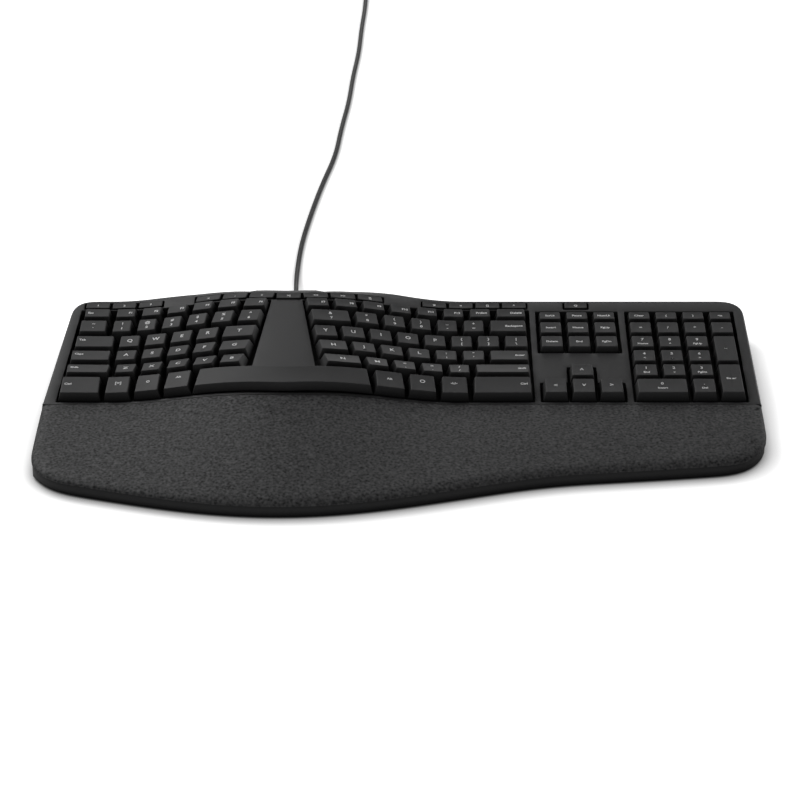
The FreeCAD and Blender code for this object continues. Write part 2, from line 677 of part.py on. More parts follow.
def ribbon_front(gap):
    """Upright solid before the palm rest seam."""
    behind = [(x, seam_y(x) - gap, -20.0) for x in steps(-FAR, FAR, STATIONS + 8)]
    corners = [Vector(FAR, -FAR, -20.0), Vector(-FAR, -FAR, -20.0)]
    wire = Part.Wire([curve(behind), Part.makeLine(Vector(*behind[-1]), corners[0]),
                      Part.makeLine(corners[0], corners[1]),
                      Part.makeLine(corners[1], Vector(*behind[0]))])
    return Part.Face(wire).extrude(Vector(0, 0, 100.0))


# Decks under the keys

def deck_plan(inset):
    """Plan of the decks, with tabs under the hot keys."""
    left, right = LEFT_BACK + 1.0 + inset, NUMPAD + 3.5 * COLUMN - 1.0 - inset
    plan = ribbon(left, right, 1.0 + inset, FUNCTION_END - 0.6 - inset)
    tabs = []
    for node, first, wide, count in HOT_GROUPS:
        tabs.append(ribbon(first + 1.0 + inset, first + wide * count - 1.0 - inset,
                           FUNCTION_END - 4.0, dim("hot_y") + dim("hot_deep") / 2 - inset))
    return plan.fuse(tabs)


def make_decks():
    """Guide plate, rubber sheet, membrane and steel back plate."""
    plan = deck_plan(0.0)
    guide = layer(dim("guide_drop"), dim("guide_thick")).common(plan)
    rim_high = dim("sheet_drop") - dim("guide_drop") - dim("guide_thick")
    rim = layer(dim("guide_drop") + dim("guide_thick") / 2, rim_high + dim("guide_thick") / 2)
    rim = rim.common(plan.cut(deck_plan(1.6)))
    guide = guide.fuse(rim)
    guide = guide.cut([key.guide_hole() for key in KEYS + [SPACE_KEY]])
    part("key_guide", guide)
    depth = dim("sheet_drop")
    for node, thick in (("rubber_sheet", dim("sheet_thick")), ("membrane", dim("membrane_thick")),
                        ("back_plate", dim("backplate_thick"))):
        part(node, layer(depth, thick).common(plan))
        depth += thick


# Bought-in pieces, bound to the sheet

def bound(kind, name, **sizes):
    """Part primitive whose sizes are expressions on the sheet."""
    thing = doc.addObject(kind, name)
    for size, expression in sizes.items():
        thing.setExpression(size, expression)
    return thing


def gathered(label, things):
    """Compound of like pieces that share a node."""
    group = doc.addObject("Part::Compound", label)
    group.Links = things
    group.Label = label
    PIECES.append(group)
    return group


def make_feet():
    """Rubber feet under the corners and the middle."""
    feet = []
    for number, (x, y) in enumerate(((-215.0, -62.0), (-75.0, -108.0), (215.0, -50.0),
                                     (-212.0, 108.0), (222.0, 108.0), (-20.0, 108.0))):
        foot = bound("Part::Cylinder", "foot_%d" % number, Radius="dims.foot_radius",
                     Height="dims.foot_high")
        foot.Placement.Base = Vector(x, y, 0)
        feet.append(foot)
    gathered("rubber_feet", feet)


def make_screws():
    """Case screws, driven from below."""
    screws = []
    for number, (x, y) in enumerate(BOSSES):
        head = bound("Part::Cylinder", "head_%d" % number, Radius="dims.head_radius",
                     Height="dims.head_thick")
        shank = bound("Part::Cylinder", "shank_%d" % number, Radius="dims.screw_radius",
                      Height="dims.screw_long")
        for piece in (head, shank):
            piece.Placement.Base = Vector(x, y, 0)
            piece.setExpression("Placement.Base.z", "dims.foot_high")
        screw = doc.addObject("Part::Fuse", "screw_%d" % number)
        screw.Base, screw.Tool = head, shank
        screws.append(screw)
    gathered("case_screws", screws)


def make_board():
    """Controller board on four posts of the bottom case."""
    board = bound("Part::Box", "controller_board", Length="dims.board_long",
                  Width="dims.board_deep", Height="dims.board_thick")
    board.setExpression("Placement.Base.x", "dims.exit_x - dims.board_long / 2")
    board.setExpression("Placement.Base.y", "dims.board_y")
    board.setExpression("Placement.Base.z", "dims.board_z")
    board.Label = "controller_board"
    PIECES.append(board)


def make_relief():
    """Strain relief with its flange behind the case wall."""
    turn = FreeCAD.Rotation(Vector(1, 0, 0), -90)
    cone = bound("Part::Cone", "relief_sleeve", Radius1="dims.relief_root",
                 Radius2="dims.relief_tip", Height="dims.relief_long + dims.case_wall")
    flange = bound("Part::Cylinder", "relief_flange", Radius="dims.flange_radius",
                   Height="dims.flange_thick")
    for piece, back in ((cone, ""), (flange, " - dims.flange_thick")):
        piece.Placement = FreeCAD.Placement(Vector(0, 0, 0), turn)
        piece.setExpression("Placement.Base.x", "dims.exit_x")
        piece.setExpression("Placement.Base.y",
                            "dims.case_back - dims.case_back_dip - dims.case_wall" + back)
        piece.setExpression("Placement.Base.z", "dims.exit_z")
    relief = doc.addObject("Part::Fuse", "strain_relief")
    relief.Base, relief.Tool = cone, flange
    relief.Label = "strain_relief"
    PIECES.append(relief)


# Cord: hand-chosen points from the strain relief to the coil

COIL_Z = dim("tie_thick") + dim("cord_radius") + 0.05
CORD_START = dim("case_back") - dim("case_back_dip") + dim("relief_long")
CORD_POINTS = (
    (-77.0, CORD_START, 15.0),
    (-77.0, CORD_START + 24.0, 14.2),
    (-76.6, CORD_START + 50.0, 6.0),
    (-75.0, CORD_START + 82.0, 1.8),
    (-71.0, CORD_START + 130.0, 1.7),
    (-65.0, CORD_START + 185.0, 1.7),
    (-60.5, CORD_START + 241.0, 1.7),
    (-54.0, CORD_START + 297.0, 1.7),
    (-50.5, CORD_START + 353.0, 1.7),
    (-45.0, CORD_START + 409.0, 1.7),
    (-42.5, CORD_START + 465.0, 1.7),
    (-38.0, CORD_START + 521.0, 1.7),
    (-36.5, CORD_START + 577.0, 1.7),
    (-33.5, CORD_START + 633.0, 1.9),
    (-33.0, CORD_START + 689.0, COIL_Z),
)


def bend_radius(before, at, after):
    """Radius of the arc at a point, and half its turn."""
    first, second = at - before, after - at
    turn = first.getAngle(second)
    return 0.45 * min(first.Length, second.Length) / math.tan(turn / 2), turn


def cord_path(points):
    """Straight runs joined by tangent arcs."""
    edges, start, radii = [], points[0], []
    for before, at, after in zip(points, points[1:], points[2:]):
        radius, turn = bend_radius(before, at, after)
        radii.append(radius)
        cut = radius * math.tan(turn / 2)
        into = (before - at).normalize()
        out = (after - at).normalize()
        begin, end = at + into * cut, at + out * cut
        middle_way = (into + out).normalize()
        middle = at + middle_way * (radius / math.cos(turn / 2) - radius)
        edges.append(Part.LineSegment(start, begin).toShape())
        edges.append(Part.Arc(begin, middle, end).toShape())
        start = end
    edges.append(Part.LineSegment(start, points[-1]).toShape())
    print("cord radii", [round(radius, 1) for radius in radii])
    return Part.Wire(edges)


def arc_from(start, heading, end):
    """Arc that leaves start along heading and reaches end."""
    chord = end - start
    along = Vector(chord).normalize()
    angle = heading.getAngle(along)
    across = (heading - along * heading.dot(along)).normalize()
    middle = start + chord * 0.5 + across * (chord.Length / 2 * math.tan(angle / 2))
    return Part.Arc(start, middle, end).toShape()


def half_turn(start, heading, end):
    """Biarc over a half turn, which may climb."""
    reach_out = (end - start).Length / 2
    middle = (start + end) * 0.5 + heading * reach_out
    back_way = arc_from(end, heading, middle)
    first = arc_from(start, heading, middle)
    second = Part.Arc(middle, back_way.valueAt((back_way.FirstParameter
                                                + back_way.LastParameter) / 2), end).toShape()
    return [first, second]


def coil_places():
    """Ends of the coil's half turns: in to the middle, up a layer and out again."""
    half_step = dim("coil_step") / 2
    inward = int(2 * dim("coil_turns"))
    radii = [dim("coil_inner") + half_step * (inward - i) for i in range(inward)]
    radii += [dim("coil_climb")] * 2
    radii += [dim("coil_inner") + half_step * i for i in range(1, inward)]
    entry = Vector(*CORD_POINTS[-1])
    centre = entry - Vector(radii[0], 0, 0)
    places = []
    for i, radius in enumerate(radii):
        side = 1 if i % 2 == 0 else -1
        rise = dim("coil_step") if i > inward else 0.0
        places.append(centre + Vector(side * radius, 0, rise))
    return places


def least_gap(wire, radius, spacing=2.0):
    """Least distance between two stretches of a tube, measured on points."""
    points = wire.discretize(Distance=spacing)
    skip = int(3 * math.pi * radius / spacing) + 2
    least = min((points[i] - points[j]).Length
                for i in range(len(points)) for j in range(i + skip, len(points)))
    return least - 2 * radius


CORD_SIDES = 6


def cord_section(centre):
    """Faceted section of the cord, upright across Y, with a flat side down."""
    radius = dim("cord_radius")
    turns = [math.pi * (2 * i + 1) / CORD_SIDES for i in range(CORD_SIDES)]
    corners = [centre + Vector(radius * math.sin(a), 0, -radius * math.cos(a)) for a in turns]
    return Part.makePolygon(corners + corners[:1])


def cord_area():
    """Area of that section."""
    return CORD_SIDES / 2 * dim("cord_radius") ** 2 * math.sin(2 * math.pi / CORD_SIDES)


def make_cord():
    """Cord along the desk, its coil, its tail and its tie."""
    radius = dim("cord_radius")
    start = Vector(*CORD_POINTS[0])
    path = cord_path([Vector(*point) for point in CORD_POINTS])
    tube = path.makePipeShell([cord_section(start)], True, False)
    print("cord volume ratio", round(tube.Volume / (cord_area() * path.Length), 4),
          "length", round(path.Length, 1))

    places, heading = coil_places(), Vector(0, 1, 0)
    lead = Vector(0, 2 * radius, 0)
    edges = [Part.makeLine(places[0], places[0] + lead)]
    for begin, end in zip(places, places[1:]):
        edges += half_turn(begin + lead, heading, end + lead)
        heading = heading * -1
    edges.append(Part.makeLine(places[-1] + lead, places[-1] + lead * 2))
    turns = Part.Wire(edges)
    coil = turns.makePipeShell([cord_section(places[0])], True, False)
    print("coil gap", round(least_gap(turns, radius), 2), "length", round(turns.Length, 1))
    part("cable_coil", coil)

    tail_start = places[-1] + lead * 2
    tail = cord_path([tail_start, tail_start + Vector(0, 9, -0.4), tail_start + Vector(0.6, 19, -1.6),
                      Vector(tail_start.x + 0.9, tail_start.y + 29, dim("plug_high") / 2)])
    part("cable", Part.makeCompound([tube, tail.makePipeShell([cord_section(tail_start)],
                                                              True, False)]))
    make_tie(places, lead.y)
    make_plug(tail_start + Vector(0.9, 29, 0))


def make_tie(places, y):
    """Flat tie round the turns on the left of the coil."""
    radius, thick, wide = dim("cord_radius"), dim("tie_thick"), dim("tie_wide")
    left = min(place.x for place in places) - radius - 0.1
    right = max(place.x for place in places if place.x < places[0].x - 2 * dim("coil_inner"))
    right = right + radius + 1.2
    y_middle = places[0].y + y
    low, high = COIL_Z - radius - 0.05, COIL_Z + dim("coil_step") + radius + 0.1
    outer = box_between(left - thick, right + thick, y_middle - wide / 2, y_middle + wide / 2,
                        low - thick, high + thick)
    part("cable_tie", outer.cut(box_between(left, right, y_middle - wide, y_middle + wide,
                                            low, high)))


def rectangle_body(name, wide, high, long):
    """Body padded from a rectangle round its origin; the sizes are expressions."""
    body = doc.addObject("PartDesign::Body", name)
    sketch = body.newObject("Sketcher::SketchObject", name + "_profile")
    plane = [item for item in body.Origin.OriginFeatures if item.Role == "XY_Plane"][0]
    sketch.AttachmentSupport = [(plane, "")]
    sketch.MapMode = "FlatFace"
    corners = [Vector(-5, -3, 0), Vector(5, -3, 0), Vector(5, 3, 0), Vector(-5, 3, 0)]
    for i in range(4):
        sketch.addGeometry(Part.LineSegment(corners[i], corners[(i + 1) % 4]))
    for i in range(4):
        sketch.addConstraint(Sketcher.Constraint("Coincident", i, 2, (i + 1) % 4, 1))
        sketch.addConstraint(Sketcher.Constraint("Vertical" if i % 2 else "Horizontal", i))
    sketch.addConstraint(Sketcher.Constraint("Symmetric", 0, 1, 1, 2, -1, 1))
    for kind, line, size in (("DistanceX", 0, wide), ("DistanceY", 1, high)):
        index = sketch.addConstraint(Sketcher.Constraint(kind, line, 1, line, 2, 8.0))
        sketch.setExpression("Constraints[%d]" % index, size)
    pad = body.newObject("PartDesign::Pad", name + "_pad")
    pad.Profile = sketch
    pad.setExpression("Length", long)
    doc.recompute()
    return body, pad


def make_plug(end):
    """Plug grip, and its shell with the tongue."""
    upright = FreeCAD.Rotation(Vector(1, 0, 0), -90)
    grip, pad = rectangle_body("plug_grip", "dims.plug_wide", "dims.plug_high", "dims.plug_long")
    rounding = grip.newObject("PartDesign::Fillet", "plug_rounding")
    rounding.Base = (pad, ["Edge%d" % (i + 1) for i, edge in enumerate(pad.Shape.Edges)
                           if abs(edge.tangentAt(edge.FirstParameter).z) > 0.9])
    rounding.setExpression("Radius", "dims.plug_round")
    doc.recompute()
    shell, pad = rectangle_body("plug_tube", "dims.shell_wide", "dims.shell_high",
                                "dims.shell_long")
    hollow = shell.newObject("PartDesign::Thickness", "plug_hollow")
    mouth = max(range(len(pad.Shape.Faces)), key=lambda i: pad.Shape.Faces[i].CenterOfMass.z)
    hollow.Base = (pad, ["Face%d" % (mouth + 1)])
    hollow.Reversed = True
    hollow.setExpression("Value", "dims.shell_wall")
    doc.recompute()
    tongue = bound("Part::Box", "plug_tongue", Length="dims.shell_wide - 4 * dims.shell_wall",
                   Width="dims.shell_high * 0.4", Height="dims.shell_long - 2 * dims.shell_wall")
    centre = Vector(end.x, end.y, dim("plug_high") / 2)
    grip.Placement = FreeCAD.Placement(centre, upright)
    shell.Placement = FreeCAD.Placement(centre + Vector(0, dim("plug_long"), 0), upright)
    offset = Vector(-(dim("shell_wide") / 2 - 2 * dim("shell_wall")),
                    dim("plug_long") + dim("shell_wall"), dim("shell_high") / 2 - dim("shell_wall"))
    tongue.Placement = FreeCAD.Placement(centre + offset, upright)
    grip.Label = "plug_grip"
    PIECES.append(grip)
    gathered("plug_shell", [shell, tongue])


def main():
    """Builds every piece, checks it and writes it."""
    make_keys()
    make_case()
    make_decks()
    make_feet()
    make_screws()
    make_board()
    make_relief()
    make_cord()
    doc.recompute()
    for thing in doc.Objects:
        if {"Invalid", "Error"} & set(thing.State):
            raise SystemExit("failed object: " + thing.Name)
    for piece in PIECES:
        if piece.Shape.isNull() or not piece.Shape.isValid() or piece.Shape.Volume <= 0:
            raise SystemExit("bad shape: " + piece.Label)
    for piece in PIECES:
        piece.Shape.exportStep("parts/%s.step" % piece.Label)
        print(piece.Label, len(piece.Shape.Solids), round(piece.Shape.Volume, 1))


main()
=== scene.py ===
"""Looks of the ergonomic keyboard: key caps, legends, mouldings, palm rest, cord, light and camera.

Lengths are in metres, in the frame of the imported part: +X to the right of the person who types,
+Y away from them, +Z up. The origin is on the desk, under the middle of the case.
"""
from __future__ import annotations

import logging
import math
from collections.abc import Callable
from dataclasses import dataclass, field
from enum import Enum

import bmesh
import bpy
import numpy as np
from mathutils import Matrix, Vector
from mathutils.geometry import delaunay_2d_cdt
from mathutils.kdtree import KDTree


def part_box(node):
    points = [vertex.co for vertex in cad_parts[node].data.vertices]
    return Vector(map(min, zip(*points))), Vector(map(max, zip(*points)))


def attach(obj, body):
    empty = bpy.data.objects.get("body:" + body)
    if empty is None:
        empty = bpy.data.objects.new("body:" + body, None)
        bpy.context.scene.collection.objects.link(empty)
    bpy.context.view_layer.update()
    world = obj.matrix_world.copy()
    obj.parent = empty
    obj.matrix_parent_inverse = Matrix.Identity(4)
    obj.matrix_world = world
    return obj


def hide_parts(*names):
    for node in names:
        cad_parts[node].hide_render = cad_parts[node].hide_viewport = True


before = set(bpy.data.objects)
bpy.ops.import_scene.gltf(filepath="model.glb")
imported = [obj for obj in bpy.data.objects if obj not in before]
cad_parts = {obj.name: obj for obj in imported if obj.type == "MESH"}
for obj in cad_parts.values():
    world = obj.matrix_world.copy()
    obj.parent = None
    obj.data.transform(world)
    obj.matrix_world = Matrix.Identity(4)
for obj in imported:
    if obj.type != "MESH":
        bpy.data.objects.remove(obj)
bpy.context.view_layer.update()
LOG = logging.getLogger("keyboard")
MM = 0.001
BASE = "base"
Faces = list[tuple[int, ...]]
Solid = tuple[list[Vector], Faces]
Spots = tuple[tuple[float, float], ...]


# Small helpers

def clamp(value: float) -> float:
    """The value, kept from 0 to 1."""
    return min(max(value, 0.0), 1.0)


def join_rings(first: int, second: int, count: int) -> Faces:
    """Faces between two closed rings of vertices.

    Args:
        first: index of the first ring's first vertex.
        second: index of the second ring's first vertex.
        count: vertices in each ring.

    Returns:
        One face for each step round the rings.
    """
    return [(first + i, first + (i + 1) % count, second + (i + 1) % count, second + i)
            for i in range(count)]


def extend(points: list[Vector], faces: Faces, more: Solid) -> None:
    """Adds a solid's vertices and faces to those made so far."""
    points += more[0]
    faces += more[1]


# Forms that the rows of keys, the case and the palm rest follow

@dataclass(frozen=True)
class KeyField:
    """Dome, fan and slopes of the key field, as the part's source has them."""

    split_x: float = -80.7 * MM
    split_round: float = 12.0 * MM
    dome_rise: float = 17.0 * MM
    dome_reach: float = 125.0 * MM
    fan_angle: float = math.radians(12.0)
    fan_reach: float = 160.0 * MM
    key_z: float = 22.0 * MM
    key_rise: float = 0.059
    long_row: float = 22.0 * MM
    case_z: float = 15.4 * MM
    case_rise: float = 0.10
    palm_edge_z: float = 12.5 * MM
    seam_gap: float = 2.6 * MM
    well_gap: float = 0.7 * MM
    front_middle: float = -104.5 * MM
    front_swell: float = 22.5 * MM
    front_wave: float = 235.0 * MM
    front_drift: float = 0.13

    def reach(self, x: float) -> float:
        """Distance from the split line, rounded near it."""
        return math.hypot(x - self.split_x, self.split_round)

    def dome(self, x: float) -> float:
        """Height of the dome over the flat ends."""
        near = min(self.reach(x) / self.dome_reach, 1.0)
        return self.dome_rise * (1 + math.cos(math.pi * near)) / 2

    def draw_in(self, x: float) -> float:
        """How far the rows come forward where the keys are fanned."""
        length = self.fan_reach
        near = min(self.reach(x), length)
        lean = math.tan(self.fan_angle) / 2
        return lean * (length - near - length / math.pi * math.sin(math.pi * near / length))

    def fan_slope(self, x: float) -> float:
        """Slope of the rows in plan where the keys are fanned."""
        step = 0.5 * MM
        return (self.draw_in(x + step) - self.draw_in(x - step)) / (2 * step)

    def key_plane(self, x: float, y: float) -> float:
        """Height of the key tops."""
        return self.key_z + self.key_rise * (y - self.long_row / 2) + self.dome(x)

    def case_plane(self, x: float, y: float) -> float:
        """Height of the case round the keys."""
        return self.case_z + self.case_rise * y + self.dome(x)

    def front_edge(self, x: float) -> float:
        """Front edge of the case in plan."""
        crest = self.split_x + self.front_wave
        way = (min(x, crest) - self.split_x) / self.front_wave
        wave = self.front_swell * math.cos(math.pi * way)
        return self.front_middle - wave + self.front_drift * max(x - crest, 0.0)

    def seam_y(self, x: float) -> float:
        """Plan line between the bezel and the palm rest."""
        return -self.well_gap - self.seam_gap - self.draw_in(x)

    def palm_plane(self, x: float, y: float) -> float:
        """Height of the palm rest, straight from its seam down to its front edge."""
        bend = self.seam_y(x) + self.seam_gap / 2
        bend_z = self.case_plane(x, bend)
        fall = (bend_z - self.palm_edge_z) / (bend - self.front_edge(x))
        return bend_z - fall * (bend - y)


FIELD = KeyField()


# Shader node groups and finishes, with painted shade in recesses

def new_socket(group: bpy.types.NodeTree, name: str, way: str, kind: str,
               value: object = None) -> None:
    """Adds one named socket to a node group.

    Args:
        group: the node group.
        name: name of the socket.
        way: "INPUT" or "OUTPUT".
        kind: Blender's socket type without its prefix, such as "Float".
        value: default value of an input.
    """
    socket = group.interface.new_socket(name=name, in_out=way, socket_type="NodeSocket" + kind)
    if value is not None:
        socket.default_value = value


def place_node(tree: bpy.types.NodeTree, kind: str, **values: object) -> bpy.types.Node:
    """Adds a shader node and sets inputs or properties by name.

    Args:
        tree: where the node goes.
        kind: Blender's node type without its prefix, such as "TexNoise".
        values: inputs by name with _ for a blank, or a socket to link, or properties of the node.

    Returns:
        The new node.
    """
    node = tree.nodes.new("ShaderNode" + kind)
    for name, value in values.items():
        label = name.replace("_", " ")
        if hasattr(node, name):
            setattr(node, name, value)
        elif isinstance(value, bpy.types.NodeSocket):
            tree.links.new(value, node.inputs[label])
        else:
            node.inputs[label].default_value = value
    return node


class Grain:
    """Shared node group: fine grain of a moulded, rubbed or pebbled surface, plus painted shade
    that darkens its colour and gloss in recesses by ambient occlusion.
    """

    name = "surface_grain_and_painted_shade"
    # Reach and samples of the ambient occlusion that paints shade into recesses.
    painted_shade_reach = 7.0 * MM
    painted_shade_samples = 6
    darkest = 0.15
    bump_reach = 0.1 * MM

    @staticmethod
    def chain(tree: bpy.types.NodeTree, operation: str,
              *values: bpy.types.NodeSocket | float) -> bpy.types.NodeSocket:
        """Output of a maths node with the given sockets or numbers as its inputs."""
        node = place_node(tree, "Math", operation=operation)
        for slot, value in zip(node.inputs, values):
            if isinstance(value, bpy.types.NodeSocket):
                tree.links.new(value, slot)
            else:
                slot.default_value = value
        return node.outputs[0]

    @classmethod
    def group(cls) -> bpy.types.NodeTree:
        """The group, built the first time it is asked for.

        Returns:
            The node group with outputs for colour (painted shade in recesses included), roughness,
            normal, and the random tone times the painted shade.
        """
        if cls.name in bpy.data.node_groups:
            return bpy.data.node_groups[cls.name]
        tree = bpy.data.node_groups.new(cls.name, "ShaderNodeTree")
        new_socket(tree, "Color", "INPUT", "Color", (0.05, 0.05, 0.05, 1.0))
        for name, value in (("Grain Scale", 2500.0), ("Patch Scale", 25.0), ("Mottle", 0.2),
                            ("Depth", 0.3), ("Rough Low", 0.45), ("Rough High", 0.6),
                            ("Pebble Scale", 900.0), ("Pebble", 0.0), ("Patch Mottle", 0.2),
                            ("Hollow", 1.0)):
            new_socket(tree, name, "INPUT", "Float", value)
        new_socket(tree, "Color", "OUTPUT", "Color")
        new_socket(tree, "Roughness", "OUTPUT", "Float")
        new_socket(tree, "Normal", "OUTPUT", "Vector")
        new_socket(tree, "Tone Times Painted Shade", "OUTPUT", "Float")
        entry = tree.nodes.new("NodeGroupInput").outputs
        leave = tree.nodes.new("NodeGroupOutput").inputs
        where = place_node(tree, "TexCoord").outputs["Object"]
        fine = place_node(tree, "TexNoise", Vector=where, Scale=entry["Grain Scale"], Detail=3.0)
        patch = place_node(tree, "TexNoise", Vector=where, Scale=entry["Patch Scale"], Detail=2.0)
        pebble = place_node(tree, "TexVoronoi", Vector=where, Scale=entry["Pebble Scale"])
        mixed = place_node(tree, "Mix", data_type="FLOAT")
        tree.links.new(entry["Pebble"], mixed.inputs[0])
        tree.links.new(fine.outputs["Fac"], mixed.inputs[2])
        tree.links.new(pebble.outputs["Distance"], mixed.inputs[3])
        height = mixed.outputs[0]
        # Painted shade: an ambient occlusion mask, raised to a power, darkens recesses.
        sky = place_node(tree, "AmbientOcclusion", Distance=cls.painted_shade_reach,
                         samples=cls.painted_shade_samples)
        shade = cls.chain(tree, "POWER", sky.outputs["AO"], entry["Hollow"])
        gain = 1.0
        for source, strength in ((height, "Mottle"), (patch.outputs["Fac"], "Patch Mottle")):
            centred = cls.chain(tree, "SUBTRACT", source, 0.5)
            gain = cls.chain(tree, "MULTIPLY_ADD", centred, entry[strength], gain)
        # The random tone times the painted shade tints the colour here, and the material also uses
        # it to dim the gloss.
        gain = cls.chain(tree, "MULTIPLY", cls.chain(tree, "MAXIMUM", gain, cls.darkest), shade)
        tree.links.new(gain, leave["Tone Times Painted Shade"])
        tinted = place_node(tree, "VectorMath", operation="SCALE", Scale=gain)
        tree.links.new(entry["Color"], tinted.inputs[0])
        tree.links.new(tinted.outputs[0], leave["Color"])
        rough = place_node(tree, "MapRange", Value=patch.outputs["Fac"],
                           To_Min=entry["Rough Low"], To_Max=entry["Rough High"])
        tree.links.new(rough.outputs[0], leave["Roughness"])
        bump = place_node(tree, "Bump", Distance=cls.bump_reach, Height=height,
                          Strength=entry["Depth"])
        tree.links.new(bump.outputs[0], leave["Normal"])
        return tree


@dataclass(frozen=True)
class Finish:
    """One material: its colour, its gloss, the grain of its surface and the painted shade in its
    recesses.
    """

    name: str
    color: tuple[float, float, float]
    rough: tuple[float, float] = (0.45, 0.6)
    grain: float = 2500.0
    patch: float = 25.0
    mottle: float = 0.2
    depth: float = 0.3
    pebble_scale: float = 900.0
    pebble: float = 0.0
    metallic: float = 0.0
    specular: float = 0.5
    coat: float = 0.0
    patch_mottle: float = 0.2
    # Strength of the painted shade in recesses; 0 leaves it out.
    hollow: float = 1.0

    def material(self) -> bpy.types.Material:
        """The material, built the first time it is asked for.

        Returns:
            A material with its Principled shader fed by the grain group.
        """
        if self.name in bpy.data.materials:
            return bpy.data.materials[self.name]
        made = bpy.data.materials.new(self.name)
        made.use_nodes = True
        tree = made.node_tree
        shader = tree.nodes["Principled BSDF"]
        grain = tree.nodes.new("ShaderNodeGroup")
        grain.node_tree = Grain.group()
        for name, value in (("Color", (*self.color, 1.0)), ("Grain Scale", self.grain),
                            ("Patch Scale", self.patch), ("Mottle", self.mottle),
                            ("Depth", self.depth), ("Rough Low", self.rough[0]),
                            ("Rough High", self.rough[1]), ("Pebble Scale", self.pebble_scale),
                            ("Pebble", self.pebble), ("Patch Mottle", self.patch_mottle),
                            ("Hollow", self.hollow)):
            grain.inputs[name].default_value = value
        for source, target in (("Color", "Base Color"), ("Roughness", "Roughness"),
                               ("Normal", "Normal")):
            tree.links.new(grain.outputs[source], shader.inputs[target])
        shader.inputs["Metallic"].default_value = self.metallic
        # Specular level dimmed by the random tone and by the painted shade in recesses.
        gloss = Grain.chain(tree, "MULTIPLY", grain.outputs["Tone Times Painted Shade"], self.specular)
        tree.links.new(gloss, shader.inputs["Specular IOR Level"])
        shader.inputs["Coat Weight"].default_value = self.coat
        return made

    def dress(self, obj: bpy.types.Object) -> None:
        """Puts the material on every slot of an object."""
        obj.data.materials.clear()
        obj.data.materials.append(self.material())


class Finishes(Enum):
    """Every finish of the keyboard."""

    # The hollow keyword sets each finish's painted shade in recesses: strong on the keys and case,
    # weak on the palm, none on the ink, the default elsewhere.
    KEYS = Finish("key_plastic", (0.042, 0.042, 0.043), (0.5, 0.62), 2600.0, 30.0, 0.25, 0.35,
                  hollow=2.2)
    CASE = Finish("case_plastic", (0.052, 0.052, 0.053), (0.46, 0.56), 2200.0, 18.0, 0.2, 0.3,
                  hollow=1.6)
    BAND = Finish("band_plastic", (0.013, 0.013, 0.014), (0.36, 0.44), 2600.0, 12.0, 0.15, 0.12)
    PALM = Finish("cushion_skin", (0.052, 0.052, 0.053), (0.56, 0.72), 520.0, 14.0, 3.2, 0.7,
                  pebble_scale=520.0, pebble=0.25, specular=0.42, hollow=0.5)
    INK = Finish("legend_ink", (0.97, 0.97, 0.97), (0.5, 0.6), 1800.0, 60.0, 0.06, 0.1, hollow=0.0)
    GUIDE = Finish("guide_plastic", (0.012, 0.012, 0.012), (0.6, 0.75), 1800.0, 20.0, 0.2, 0.3)
    RUBBER = Finish("soft_rubber", (0.022, 0.022, 0.022), (0.62, 0.78), 2200.0, 40.0, 0.3, 0.35)
    FILM = Finish("clear_film", (0.5, 0.52, 0.5), (0.25, 0.35), 900.0, 60.0, 0.3, 0.1, coat=0.3)
    STEEL = Finish("plain_steel", (0.55, 0.55, 0.57), (0.28, 0.42), 1200.0, 60.0, 0.15, 0.3,
                   metallic=1.0)
    BOARD = Finish("board_green", (0.02, 0.12, 0.05), (0.35, 0.5), 500.0, 150.0, 0.6, 0.3,
                   coat=0.2)
    JACKET = Finish("jacket_skin", (0.018, 0.018, 0.018), (0.45, 0.6), 2400.0, 40.0, 0.25, 0.25)


# Mesh helpers

def add_object(name: str, points: list[Vector], faces: Faces, finish: Finishes,
               sharp: float = 40.0) -> bpy.types.Object:
    """Makes a smooth-shaded object from points and faces.

    Args:
        name: name of the piece.
        points: its vertices, in the part's frame.
        faces: its faces, as indices.
        finish: its material.
        sharp: edges that turn more than this many degrees stay sharp.

    Returns:
        The new object, linked to the scene.
    """
    mesh = bpy.data.meshes.new(name)
    mesh.from_pydata([tuple(p) for p in points], [], faces)
    mesh.validate()
    work = bmesh.new()
    work.from_mesh(mesh)
    bmesh.ops.recalc_face_normals(work, faces=work.faces)
    work.to_mesh(mesh)
    work.free()
    mesh.shade_smooth()
    mesh.set_sharp_from_angle(angle=math.radians(sharp))
    made = bpy.data.objects.new(name, mesh)
    bpy.context.scene.collection.objects.link(made)
    finish.value.dress(made)
    return made


def cad_mesh(node: str) -> bmesh.types.BMesh:
    """Welded copy of a CAD node's mesh, to measure."""
    work = bmesh.new()
    work.from_mesh(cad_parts[node].data)
    bmesh.ops.remove_doubles(work, verts=work.verts, dist=0.002 * MM)
    return work


def islands(work: bmesh.types.BMesh) -> list[list[bmesh.types.BMVert]]:
    """Vertices of each loose part of a mesh, from left to right.

    Args:
        work: a welded mesh.

    Returns:
        One list of vertices for each loose part, sorted by its middle's x.
    """
    left, found = set(work.verts), []
    while left:
        start = left.pop()
        group, front = [start], [start]
        while front:
            here = front.pop()
            for edge in here.link_edges:
                there = edge.other_vert(here)
                if there in left:
                    left.remove(there)
                    group.append(there)
                    front.append(there)
        found.append(group)
    return sorted(found, key=lambda group: sum(v.co.x for v in group) / len(group))


# Key caps

